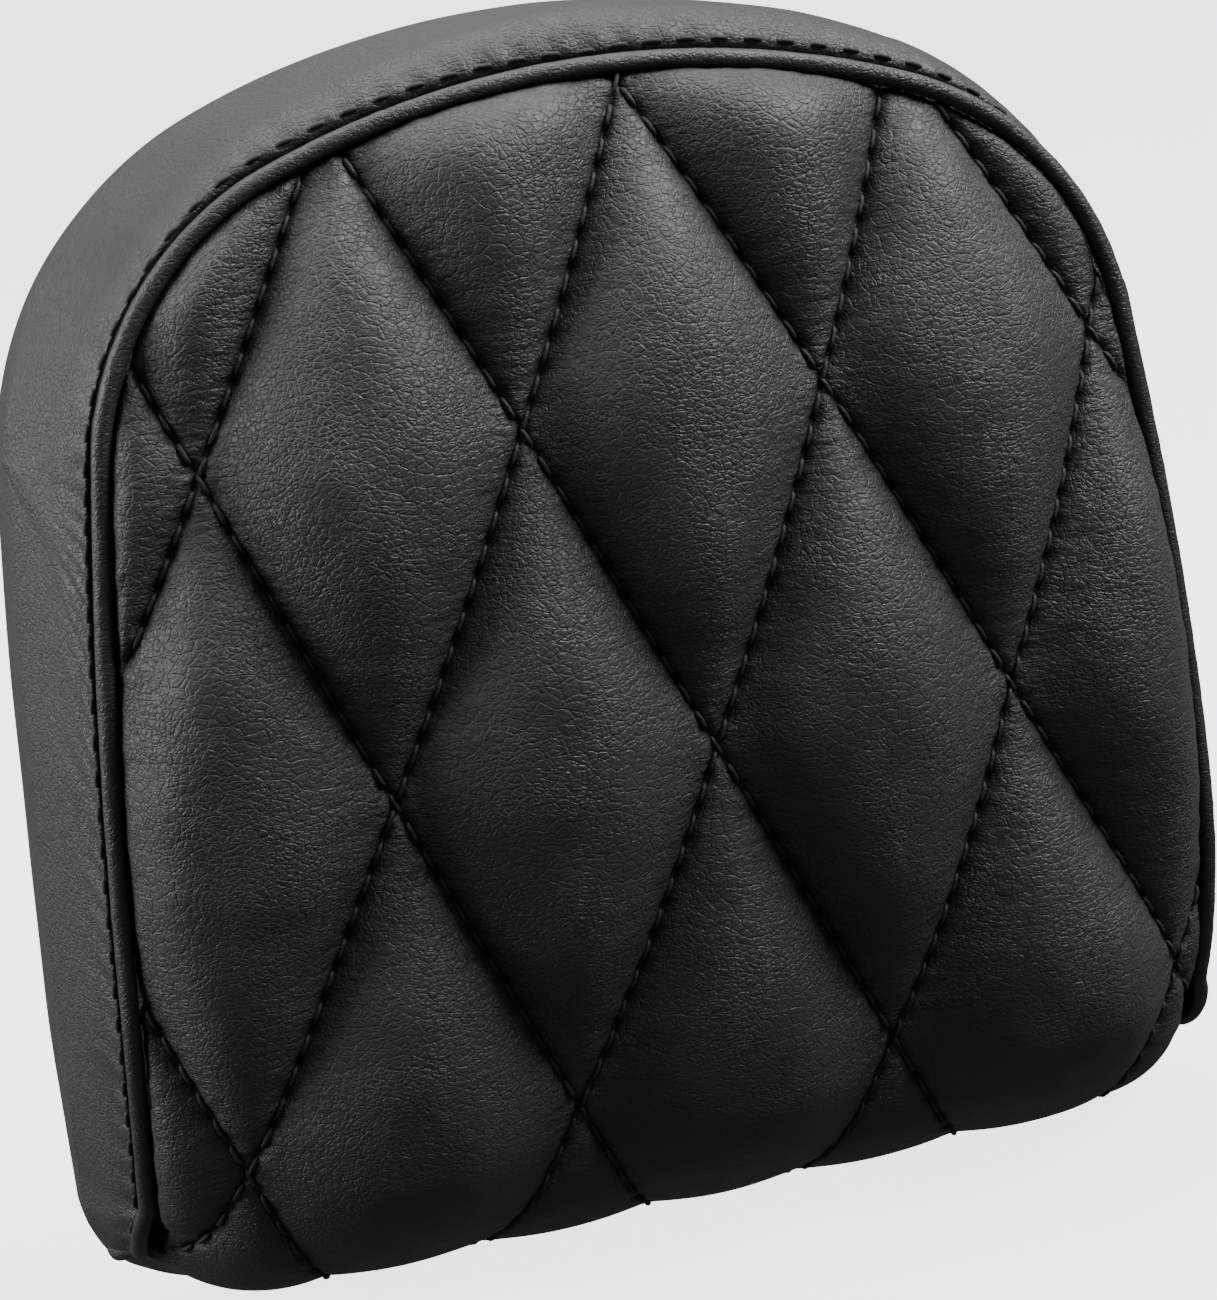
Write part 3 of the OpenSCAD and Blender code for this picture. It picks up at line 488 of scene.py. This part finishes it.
def seam_line(step):
    """Directions at even distances along the piping line, and the distance of each from the top."""
    dense = np.concatenate([np.linspace(0, TURNS[2], 3000)[:-1],
                            TURNS[2] + (END_TURN - TURNS[2]) * sin(np.linspace(0, 90, 900))])
    x, z = front_point(dense, seam_inset(dense))
    steps = np.sqrt(np.diff(x) ** 2 + np.diff(z) ** 2 + np.diff(seam_depth(dense)) ** 2)
    run = np.concatenate([[0], np.cumsum(steps)])
    even = np.linspace(0, run[-1], int(run[-1] / step) + 1)
    right = np.interp(even, run, dense)
    return np.concatenate([-right[:0:-1], right]), np.concatenate([-even[:0:-1], even])


SHOULDER_DEPTH = 9.5
SIDE_LEAN = 0.83
SIDE_SLOPE = 20.0


def leaning(h):
    """0 at the top of the arch, where the boxing stands straight, to 1 down the sides, where it leans in."""
    return 1 - (1 - np.clip(np.abs(h) / 55, 0, 1)) ** 1.5


def boxing_n(h, g):
    """Inset of the boxing at a distance g behind the piping line."""
    reach = np.minimum(seam_depth(h) - 8, SIDE_SLOPE + 30 * np.clip((92 - np.abs(h)) / 70, 0, 1))
    lean_in = SIDE_LEAN * leaning(h) * np.maximum(0, 1 - g / reach)
    u = np.clip(1 - g / SHOULDER_DEPTH, 0, 1)
    return seam_inset(h) * (lean_in + (1 - lean_in) * (1 - np.sqrt(1 - u * u)))


def sunk(h):
    return 0.6 * (1 - leaning(h))


def boxing_line(h, count):
    """Profile from the hem to the ditch beside the piping as inset and depth, in direction h."""
    f, q = float(seam_depth(h)), float(seam_inset(h))
    start = 0.2 + 1.6 * float(leaning(h))
    last = math.asin(1 - start / SHOULDER_DEPTH)
    g = np.concatenate([np.linspace(f - UNDER_END, SHOULDER_DEPTH, 24)[1:-1],
                        SHOULDER_DEPTH * (1 - np.sin(np.linspace(0, last, 14)))])
    drop = g + sunk(h) * np.clip(1 - g / SHOULDER_DEPTH, 0, 1)
    hem = BACK_EDGE * (1 - sin(np.linspace(12, 90, 8)))
    n = np.concatenate([np.linspace(BACK_EDGE + HEM, BACK_EDGE, 8), hem, boxing_n(h, g), [q - 1.6, q - 1.2]])
    turned = UNDER_END - BACK_EDGE * cos(np.linspace(12, 90, 8))
    depth = np.concatenate([np.full(8, BACK_FACE), turned, f - drop,
                            [f - drop[-1] - 0.5, f - drop[-1] - 1.1]])
    run = np.concatenate([[0], np.cumsum(np.hypot(np.diff(n), np.diff(depth)))])
    even = np.linspace(0, run[-1], count)
    n, depth = np.interp(even, run, n), np.interp(even, run, depth)
    for _ in range(3):
        n[1:-1] = (n[:-2] + 2 * n[1:-1] + n[2:]) / 4
        depth[1:-1] = (depth[:-2] + 2 * depth[1:-1] + depth[2:]) / 4
    return n, depth, run[-1] - even


def side_boxing(material):
    turns, along = seam_line(0.75)
    rows = 84
    n, depth, left = (np.array(a) for a in zip(*[boxing_line(h, rows) for h in turns]))
    s = np.repeat(along[:, None], rows, 1)
    # Gathers at the topstitching, which die out over the shoulder, and slow waves along the side
    phase = s / STITCH
    pinch = np.exp(-np.maximum(0, left - 3.2) / 2.6) * smooth(left / 2)
    lift = 0.22 * pinch * -np.cos(2 * np.pi * phase)
    lift += 0.3 * noise(s / 4.1 + 30, left / 9, 5) * np.exp(-left / 6) * smooth(left / 3)
    body = smooth((left - 4) / 16) * smooth((rim_depth(0) + 16 - left) / 14)
    lift += (0.55 * noise(s / 41 + 12, left / 24, 6) + 0.22 * noise(s / 15 + 20, left / 12, 7)) * body
    turned = np.repeat(turns[:, None], rows, 1)
    back_x, back_z = edge_point(turned, n)
    x0, z0 = front_point(turned, n)
    share = smooth((depth - 6) / 12)
    p = np.stack([back_x * (1 - share) + x0 * share, -depth, back_z * (1 - share) + z0 * share], -1)
    # Outward direction from the profile's own slope
    dn, dd = np.gradient(n, axis=1), np.gradient(depth, axis=1)
    size = np.hypot(dn, dd)
    out_n, out_d = -dd / size, dn / size
    hx, hz = sin(turns)[:, None], cos(turns)[:, None]
    normal = np.stack([-out_n * hx, -out_d, -out_n * hz], -1)
    p = p + normal * lift[..., None]
    faces = grid_faces(len(turns), rows)
    boxing = make_mesh("boxing", p.reshape(-1, 3), faces)
    return piece(boxing, material, "black_vinyl", "side_boxing")


# ---------------------------------------------------------------- piping

def piping_path(step=0.7):
    """Middle line of the piping from the back edge on one side to the back edge on the other."""
    turns, _ = seam_line(step)
    x, z = front_point(turns, seam_inset(turns))
    front = np.stack([x, -seam_depth(turns) - 0.4, z], -1)
    f = float(seam_depth(END_TURN))

    def end(side):
        t = np.linspace(0.04, 1, 28)
        x, z = front_point(np.full(t.size, side * END_TURN), END_INSET - (END_INSET - 1.4) * smooth(t * 1.6))
        return np.stack([x, -f * (1 - t) - (UNDER_END + 1) * t, z], -1)

    path = np.concatenate([end(-1)[::-1], front, end(1)])
    for _ in range(2):
        path = np.concatenate([path[:1], (path[:-2] + 2 * path[1:-1] + path[2:]) / 4, path[-1:]])
    run = np.concatenate([[0], np.cumsum(np.linalg.norm(np.diff(path, axis=0), axis=1))])
    even = np.linspace(0, run[-1], int(run[-1] / step))
    return np.stack([np.interp(even, run, path[:, k]) for k in range(3)], -1), even


def carried_sides(path, first):
    """Side and up vectors carried along a path without twist."""
    direction = unit(np.gradient(path, axis=0))
    sides = np.empty_like(path)
    last = np.array(first, float)
    for k, d in enumerate(direction):
        last = last - last.dot(d) * d
        last /= np.linalg.norm(last)
        sides[k] = last
    return sides, np.cross(direction, sides)


def piping(material):
    path, run = piping_path()
    side, up = carried_sides(path, (0, 0, 1))
    around = np.arange(20) * 2 * np.pi / 20
    s = np.repeat(run[:, None], around.size, 1)
    a = np.repeat(around[None], run.size, 0)
    r = PIPING + 0.07 * noise(s / 9, a / 1.1 + 4, 3) + 0.05 * noise(s / 2.2, a / 0.9, 4)
    ring = r[..., None] * (np.cos(a)[..., None] * side[:, None] + np.sin(a)[..., None] * up[:, None])
    p = path[:, None] + ring
    faces = grid_faces(run.size, around.size, closed=True)[:, ::-1]
    points = p.reshape(-1, 3)
    # Fans close the two ends
    first, last = len(points), len(points) + 1
    points = np.concatenate([points, path[:1], path[-1:]])
    k = np.arange(around.size)
    base = (run.size - 1) * around.size
    ends = np.concatenate([
        np.stack([k, (k + 1) % k.size, np.full(k.size, first)], -1),
        np.stack([base + (k + 1) % k.size, base + k, np.full(k.size, last)], -1)])
    triangles = np.concatenate([faces[:, [0, 1, 2]], faces[:, [0, 2, 3]], ends])
    tube = make_mesh("piping", points, triangles)
    return piece(tube, material, "piping_vinyl", "piping_cover")


# ---------------------------------------------------------------- stitches

def stitch_mesh(name, middles, along, up, length, material, slot, radius=THREAD, bow=0.35, *replaced):
    """One bent capsule of twisted thread for each stitch."""
    along, up = unit(along), unit(up)
    side = np.cross(along, up)
    t = np.linspace(-1, 1, 11)
    ring = np.arange(8) * np.pi / 4
    width = radius * np.sqrt(np.maximum(0.0, 1 - np.abs(t) ** 4.0)) + 0.02
    lift = -bow * t ** 2 * (1 + t ** 2)
    centre = (middles[:, None] + along[:, None] * (t * length / 2)[None, :, None]
              + up[:, None] * lift[None, :, None])
    twist = 1 + 0.10 * np.cos(2 * ring[None, :] - 9 * t[:, None])
    off_side = (width[:, None] * twist * np.cos(ring))[None, ..., None] * side[:, None, None]
    off_up = (width[:, None] * twist * np.sin(ring))[None, ..., None] * up[:, None, None]
    p = centre[:, :, None] + off_side + off_up
    one = grid_faces(t.size, ring.size, closed=True)
    faces = (np.arange(len(middles))[:, None, None] * t.size * ring.size + one[None]).reshape(-1, 4)
    return piece(make_mesh(name, p.reshape(-1, 3), faces), material, slot, *replaced)


def quilt_stitches(name, way, material, *replaced):
    """Stitches of one family of seams: way is 1 where they rise to the right and -1 where they fall."""
    middles, directions, ups = [], [], []
    fine = np.linspace(-2.3, 2.15, 4000)
    run = seam_run(fine)
    offset = 0.0 if way == 1 else 0.5
    stops = (np.arange(-60, 60) + 0.5 - offset) * STITCH
    for k in range(-4, 5):
        r = np.interp(stops, run, fine)[(stops > run[0]) & (stops < run[-1])]
        i = k + way * r / 2
        x, v = lattice_x(i, r), lattice_v(r)
        ok = (np.abs(x) < panel_half(v)) & (panel_inset(x, v) > PANEL_EDGE + 2.2) & (v > -126)
        if ok.sum() < 2:
            continue
        r, i, x, v = r[ok], i[ok], x[ok], v[ok]
        step = 0.02
        x2, v2 = lattice_x(i + way * step / 2, r + step), lattice_v(r + step)
        p, normal = panel_frame(x, v)
        q, _ = panel_frame(x2, v2)
        height = pillow(i, r, x, v)
        middles.append(p + normal * (np.maximum(height, -0.5) + 0.28)[:, None])
        directions.append(q - p)
        ups.append(normal)
    return stitch_mesh(name, np.concatenate(middles), np.concatenate(directions), np.concatenate(ups),
                       4.3, material, "thread", THREAD, 0.32, *replaced)


def top_stitches(material):
    """Stitches in the ditch between the boxing and the piping."""
    dense, along = seam_line(0.25)
    count = int((along[-1] - 3) / STITCH)
    s = np.arange(-count, count + 1) * STITCH

    def place(distance):
        h = np.interp(distance, along, dense)
        g = 0.3 + 2.4 * leaning(h)
        x, z = front_point(h, boxing_n(h, g))
        return np.stack([x, -(seam_depth(h) - g - sunk(h) + 0.1), z], -1)

    h = np.interp(s, along, dense)
    p, later = place(s), place(s + 0.5)
    up = np.stack([sin(h) * 0.45, np.full(h.size, -0.9), cos(h) * 0.45], -1)
    return stitch_mesh("topstitch", p, later - p, up, 4.2, material, "thread", THREAD, 0.5,
                       "topstitch_thread")


# ---------------------------------------------------------------- materials

class Shader:
    """A material's node tree, with short calls to add nodes."""

    def __init__(self, name):
        self.material = bpy.data.materials.new(name)
        self.material.use_nodes = True
        self.tree = self.material.node_tree
        self.surface = self.tree.nodes["Principled BSDF"]
        self.place = self.add("ShaderNodeTexCoord").outputs["Object"]

    def add(self, kind, inputs=None, **settings):
        node = self.tree.nodes.new(kind)
        for key, value in settings.items():
            setattr(node, key, value)
        for key, value in (inputs or {}).items():
            self.put(node.inputs[key], value)
        return node

    def put(self, socket, value):
        if isinstance(value, bpy.types.NodeSocket):
            self.tree.links.new(value, socket)
        else:
            socket.default_value = value

    def math(self, operation, *values, clamp=False):
        node = self.add("ShaderNodeMath", dict(enumerate(values)), operation=operation, use_clamp=clamp)
        return node.outputs[0]

    def vector(self, operation, inputs):
        return self.add("ShaderNodeVectorMath", inputs, operation=operation).outputs[0]

    def attribute(self, name):
        return self.add("ShaderNodeAttribute", attribute_name=name).outputs["Fac"]

    def fading(self, distance, width):
        """1 on a line, falling off as a bell over width millimetres beside it."""
        squared = self.math("POWER", self.math("DIVIDE", distance, width), 2.0)
        return self.math("EXPONENT", self.math("MULTIPLY", squared, -1.0))

    def noise(self, size, detail=2.0, rough=0.5, where=None):
        """Noise whose features are about size millimetres across."""
        node = self.add("ShaderNodeTexNoise", {"Vector": where or self.place, "Scale": 1000 / size,
                                               "Detail": detail, "Roughness": rough})
        return node.outputs["Fac"]

    def warped(self, amount, size):
        """The place, pushed about by amount millimetres."""
        shift = self.add("ShaderNodeTexNoise", {"Vector": self.place, "Scale": 1000 / size, "Detail": 2.0})
        centred = self.vector("SUBTRACT", {0: shift.outputs["Color"], 1: (0.5, 0.5, 0.5)})
        scaled = self.vector("SCALE", {0: centred, "Scale": amount / 500})
        return self.vector("ADD", {0: self.place, 1: scaled})

    def cells(self, size, where=None, feature="DISTANCE_TO_EDGE"):
        inputs = {"Vector": where or self.place, "Scale": 1000 / size}
        node = self.add("ShaderNodeTexVoronoi", inputs, feature=feature)
        return node.outputs["Distance"]

    def ranged(self, value, low, high, to_low, to_high):
        inputs = {"Value": value, 1: low, 2: high, 3: to_low, 4: to_high}
        return self.add("ShaderNodeMapRange", inputs).outputs[0]

    def blend(self, factor, one, two):
        node = self.add("ShaderNodeMix", {"Factor": factor}, data_type="RGBA")
        self.put(node.inputs[6], (*one, 1))
        self.put(node.inputs[7], (*two, 1))
        return node.outputs[2]

    def bump(self, height, distance, strength=1.0, after=None):
        inputs = {"Height": height, "Distance": distance / 1000, "Strength": strength}
        node = self.add("ShaderNodeBump", inputs)
        if after is not None:
            self.put(node.inputs["Normal"], after)
        return node.outputs["Normal"]

    def finish(self, **sockets):
        for name, value in sockets.items():
            self.put(self.surface.inputs[name.replace("_", " ")], value)
        return self.material


def grained(s, crease=1.0):
    """Height of the grain: a net of fine creases between soft, flat cells that run wider than high."""
    flat = s.add("ShaderNodeMapping", {"Vector": s.warped(0.55, 2.6), "Scale": (0.78, 1.0, 1.12)}).outputs[0]
    fine = s.ranged(s.cells(1.0, flat), 0.0, 0.16, 0.0, 1.0)
    coarse = s.ranged(s.cells(2.1, flat), 0.0, 0.1, 0.0, 1.0)
    pores = s.noise(0.22, 2.0, 0.5)
    patch = s.ranged(s.noise(14, 2.0), 0.35, 0.65, 0.35, 1.0)
    fine_share = s.math("MULTIPLY", fine, s.math("MULTIPLY", patch, 0.62))
    net = s.math("ADD", fine_share, s.math("MULTIPLY", coarse, 0.36 * crease))
    return s.math("ADD", net, s.math("MULTIPLY", pores, 0.1)), net


def vinyl_surface(s, net, normal, dark, light, rough, shade=None):
    tone = s.math("ADD", s.math("MULTIPLY", net, 0.5), s.math("MULTIPLY", s.noise(9, 4.0), 0.5), clamp=True)
    colour = s.blend(tone, (dark, dark, dark * 1.02), (light, light, light * 1.02))
    if shade is not None:
        colour = s.vector("SCALE", {0: colour, "Scale": shade})
    uneven = s.math("ADD", s.noise(5, 4.0), s.math("MULTIPLY", net, -0.25))
    roughness = s.ranged(uneven, 0.1, 0.8, rough + 0.1, rough - 0.05)
    return s.finish(Base_Color=colour, Roughness=roughness, Normal=normal, Specular_IOR_Level=0.42)


def vinyl(name, dark=0.019, light=0.031, rough=0.5, grain=1.0):
    """Grained vinyl sheet."""
    s = Shader(name)
    height, net = grained(s)
    return vinyl_surface(s, net, s.bump(height, 0.16 * grain), dark, light, rough)


def quilted_vinyl(name, dark=0.019, light=0.031, rough=0.5):
    """The same sheet with its quilting: a tight crease at each seam, pinched at the needle holes, and
    short puckers that run off the seams; painted shade darkens each seam crease, most at the needle holes,
    and the crevice beside the piping."""
    s = Shader(name)
    height, net = grained(s, 1.15)
    normal = s.bump(height, 0.2)
    stitch = s.attribute("stitch")
    shade, dents = 1.0, 0.0
    for family, offset in (("a", 0.0), ("b", 0.5)):
        away = s.attribute("seam_" + family)
        strip = s.attribute("strip_" + family)
        phase = s.math("ADD", stitch, offset)
        hole = s.math("MULTIPLY_ADD", s.math("COSINE", s.math("MULTIPLY", phase, 2 * math.pi)), 0.5, 0.5)
        line = s.fading(away, 0.45)
        pinch = s.fading(away, 1.0)
        # Painted shade: the colour darkens along each seam crease, deepest at the needle holes
        painted_crease_shade = s.math("MULTIPLY", line, s.math("MULTIPLY_ADD", hole, 0.45, 0.5))
        shade = s.math("MULTIPLY", s.math("SUBTRACT", 1.0, painted_crease_shade, clamp=True), shade)
        along = s.math("MULTIPLY", phase, 3.4)
        beside = s.math("MULTIPLY", away, 0.16)
        where = s.add("ShaderNodeCombineXYZ", {0: along, 1: beside, 2: s.math("MULTIPLY", strip, 1.9)})
        pucker = s.noise(1000.0, 3.0, 0.6, where.outputs[0])
        decay = s.math("EXPONENT", s.math("MULTIPLY", away, -0.17))
        near = s.math("MULTIPLY", decay, s.math("SUBTRACT", 1.0, line))
        dents = s.math("ADD", s.math("MULTIPLY", s.math("MULTIPLY", pucker, near), 0.9), dents)
        pulled = s.math("MULTIPLY", pinch, s.math("MULTIPLY_ADD", hole, 0.6, 0.4))
        dents = s.math("ADD", dents, s.math("MULTIPLY", pulled, -0.75))
    normal = s.bump(dents, 0.75, 1.0, normal)
    # Painted shade in the crevice beside the piping, with an uneven edge
    wander = s.math("MULTIPLY", s.math("SUBTRACT", s.noise(2.4), 0.5), 2.2)
    uneven = s.math("ADD", s.attribute("crevice"), wander)
    shade = s.math("MULTIPLY", shade, s.ranged(uneven, 1.2, 2.5, 0.06, 1.0))
    return vinyl_surface(s, net, normal, dark, light, rough, shade)


def thread_material(name, dark, light):
    """Twisted thread: fine diagonal strands with a soft fuzz."""
    s = Shader(name)
    strands = s.noise(0.35, 3.0, 0.7, s.warped(0.4, 1.0))
    colour = s.blend(strands, dark, light)
    return s.finish(Base_Color=colour, Roughness=s.ranged(strands, 0.2, 0.8, 0.8, 0.55),
                    Normal=s.bump(strands, 0.12))


def plastic_material(name, dark, light, rough, grain):
    """Moulded plastic with an even spark-eroded grain."""
    s = Shader(name)
    peaks = s.noise(grain, 4.0, 0.65)
    slow = s.noise(30, 3.0)
    colour = s.blend(slow, dark, light)
    return s.finish(Base_Color=colour, Roughness=s.ranged(peaks, 0.3, 0.7, rough + 0.08, rough - 0.08),
                    Normal=s.bump(peaks, 0.1))


def metal_material(name, dark, light, rough, brushed=(1, 1, 1)):
    """Plated or drawn metal with fine marks and uneven shine."""
    s = Shader(name)
    stretched = s.add("ShaderNodeMapping", {"Vector": s.place, "Scale": brushed}).outputs[0]
    marks = s.noise(0.6, 5.0, 0.7, stretched)
    colour = s.blend(s.noise(4, 4.0), dark, light)
    s.surface.inputs["Metallic"].default_value = 1.0
    return s.finish(Base_Color=colour, Roughness=s.ranged(marks, 0.3, 0.7, rough - 0.07, rough + 0.1),
                    Normal=s.bump(marks, 0.02))


def foam_material(name, dark, light, cell):
    """Open-cell foam: small pores of two sizes."""
    s = Shader(name)
    pores = s.cells(cell, s.warped(0.3, 1.5), "F1")
    fine = s.noise(cell * 0.6, 3.0)
    height = s.math("ADD", s.math("MULTIPLY", pores, 0.8), s.math("MULTIPLY", fine, 0.4))
    colour = s.blend(s.math("ADD", s.noise(22, 3.0), s.math("MULTIPLY", pores, 0.3), clamp=True), dark, light)
    return s.finish(Base_Color=colour, Roughness=s.ranged(fine, 0.0, 1.0, 0.82, 0.98),
                    Normal=s.bump(height, 0.35))


def woven_material(name, dark, light, pitch):
    """Plain weave of fine yarns, or laid strands on a cord."""
    s = Shader(name)
    across = s.add("ShaderNodeTexWave", {"Vector": s.place, "Scale": 1000 / pitch / 6.28, "Distortion": 1.2,
                                         "Detail": 2.0}, bands_direction="X").outputs["Fac"]
    up = s.add("ShaderNodeTexWave", {"Vector": s.place, "Scale": 1000 / pitch / 6.28, "Distortion": 1.2,
                                     "Detail": 2.0}, bands_direction="Z").outputs["Fac"]
    weave = s.math("MULTIPLY", across, up)
    colour = s.blend(s.math("ADD", weave, s.math("MULTIPLY", s.noise(7, 3.0), 0.4), clamp=True), dark, light)
    return s.finish(Base_Color=colour, Roughness=s.ranged(weave, 0.0, 1.0, 0.95, 0.75),
                    Normal=s.bump(weave, 0.25))


def dress_frame():
    """Materials of the CAD nodes that stay."""
    black_thread = thread_material("hidden_thread", (0.02, 0.02, 0.021), (0.05, 0.05, 0.052))
    chosen = {
        "piping_cord": woven_material("cotton_cord", (0.62, 0.6, 0.54), (0.85, 0.83, 0.77), 0.9),
        "quilt_foam": foam_material("quilting_foam", (0.66, 0.62, 0.5), (0.83, 0.8, 0.68), 1.1),
        "quilt_scrim": woven_material("backing_scrim", (0.6, 0.6, 0.62), (0.85, 0.85, 0.86), 1.1),
        "boxing_liner": foam_material("liner_foam", (0.2, 0.2, 0.21), (0.34, 0.34, 0.35), 0.9),
        "foam_core": foam_material("core_foam", (0.7, 0.64, 0.46), (0.86, 0.81, 0.64), 1.6),
        "seam_thread": black_thread,
        "base_plate": plastic_material("base_plastic", (0.02, 0.02, 0.021), (0.034, 0.034, 0.035), 0.5, 0.9),
        "back_panel": plastic_material("back_plastic", (0.016, 0.016, 0.017), (0.026, 0.026, 0.027),
                                       0.52, 0.7),
        "threaded_inserts": metal_material("brass", (0.62, 0.43, 0.17), (0.8, 0.6, 0.27), 0.3),
        "staples": metal_material("zinc_wire", (0.5, 0.5, 0.52), (0.7, 0.7, 0.71), 0.3),
        "back_panel_screws": metal_material("black_oxide", (0.03, 0.03, 0.032), (0.07, 0.07, 0.074), 0.38),
    }
    for node, made in chosen.items():
        slots = nodes[node].data.materials
        slots.clear()
        slots.append(made)


# ---------------------------------------------------------------- studio

def aimed(obj, place, target):
    obj.location = place
    obj.rotation_euler = (Vector(target) - Vector(place)).to_track_quat("-Z", "Y").to_euler()


def softbox(name, place, target, size, power, tint=(1, 1, 1)):
    light = bpy.data.lights.new(name, "AREA")
    light.shape = "RECTANGLE"
    light.size, light.size_y = size
    light.energy = power
    light.color = tint
    obj = bpy.data.objects.new(name, light)
    bpy.context.scene.collection.objects.link(obj)
    aimed(obj, place, target)
    return obj


def camera(elevation, azimuth, roll, target, distance, lens):
    """Camera at an azimuth counted from straight in front, positive to the right, and rolled."""
    az, el = math.radians(azimuth), math.radians(elevation)
    back = Vector((math.sin(az) * math.cos(el), -math.cos(az) * math.cos(el), math.sin(el)))
    right = Vector((0, 0, 1)).cross(back).normalized()
    up = back.cross(right)
    c, s = math.cos(math.radians(roll)), math.sin(math.radians(roll))
    matrix = Matrix((c * right + s * up, c * up - s * right, back)).transposed().to_4x4()
    matrix.translation = Vector(target) + back * distance
    data = bpy.data.cameras.new("camera")
    data.lens = lens
    data.sensor_width = 36
    data.clip_start = 0.01
    obj = bpy.data.objects.new("camera", data)
    bpy.context.scene.collection.objects.link(obj)
    obj.matrix_world = matrix
    bpy.context.scene.camera = obj


def studio():
    floor_z = cad_box[0][2] * 1000 - 3.5
    w = 6000
    corners = [(-w, -w, floor_z), (w, -w, floor_z), (w, w, floor_z), (-w, w, floor_z)]
    floor = make_mesh("floor", corners, [(0, 1, 2, 3)])
    s = Shader("pale_floor")
    s.finish(Base_Color=s.blend(s.noise(400, 2.0), (0.3, 0.3, 0.3), (0.33, 0.33, 0.33)),
             Roughness=s.ranged(s.noise(60), 0, 1, 0.85, 0.95),
             Emission_Color=(1, 1, 1, 1), Emission_Strength=2.9)
    floor.data.materials.append(s.material)
    floor.visible_glossy = False
    floor.visible_diffuse = False
    world = bpy.data.worlds.new("studio")
    bpy.context.scene.world = world
    world.use_nodes = True
    tree = world.node_tree
    tree.nodes.clear()
    new, link = tree.nodes.new, tree.links.new
    seen, lit, mix = new("ShaderNodeBackground"), new("ShaderNodeBackground"), new("ShaderNodeMixShader")
    seen.inputs["Color"].default_value = (1, 1, 1, 1)
    seen.inputs["Strength"].default_value = 3.0
    coords, split, ramp = new("ShaderNodeTexCoord"), new("ShaderNodeSeparateXYZ"), new("ShaderNodeMapRange")
    link(coords.outputs["Generated"], split.inputs[0])
    link(split.outputs["Z"], ramp.inputs["Value"])
    ramp.inputs[1].default_value, ramp.inputs[2].default_value = -0.3, 1.0
    ramp.inputs[3].default_value, ramp.inputs[4].default_value = 0.13, 0.4
    lit.inputs["Color"].default_value = (1, 1, 1, 1)
    link(ramp.outputs[0], lit.inputs["Strength"])
    link(new("ShaderNodeLightPath").outputs["Is Camera Ray"], mix.inputs[0])
    link(lit.outputs[0], mix.inputs[1])
    link(seen.outputs[0], mix.inputs[2])
    link(mix.outputs[0], new("ShaderNodeOutputWorld").inputs["Surface"])
    softbox("key", (0.8, -0.4, 1.05), (0, -0.02, 0.02), (0.7, 0.7), 40)
    softbox("top", (-0.1, 0.25, 1.1), (0, 0, 0.05), (1.2, 0.7), 16)
    softbox("left", (-1.1, 0.1, 0.45), (0, 0, 0), (0.6, 0.9), 21)


# ---------------------------------------------------------------- assembly

camera(12.45, -15.39, -7.12, (0.0034, 0, -0.0016), 0.6453, 97.55)
cover = vinyl("grained_vinyl")
pipe_vinyl = vinyl("piping_vinyl", 0.016, 0.026, 0.45, 0.8)
black_thread = thread_material("black_thread", (0.003, 0.003, 0.0035), (0.011, 0.011, 0.012))
panel = quilted_panel(quilted_vinyl("quilted_vinyl"))
boxing = side_boxing(cover)
piping(pipe_vinyl)
quilt_stitches("stitches_rising", 1, black_thread, "quilt_thread_rising")
quilt_stitches("stitches_falling", -1, black_thread, "quilt_thread_falling")
top_stitches(black_thread)
dress_frame()
studio()
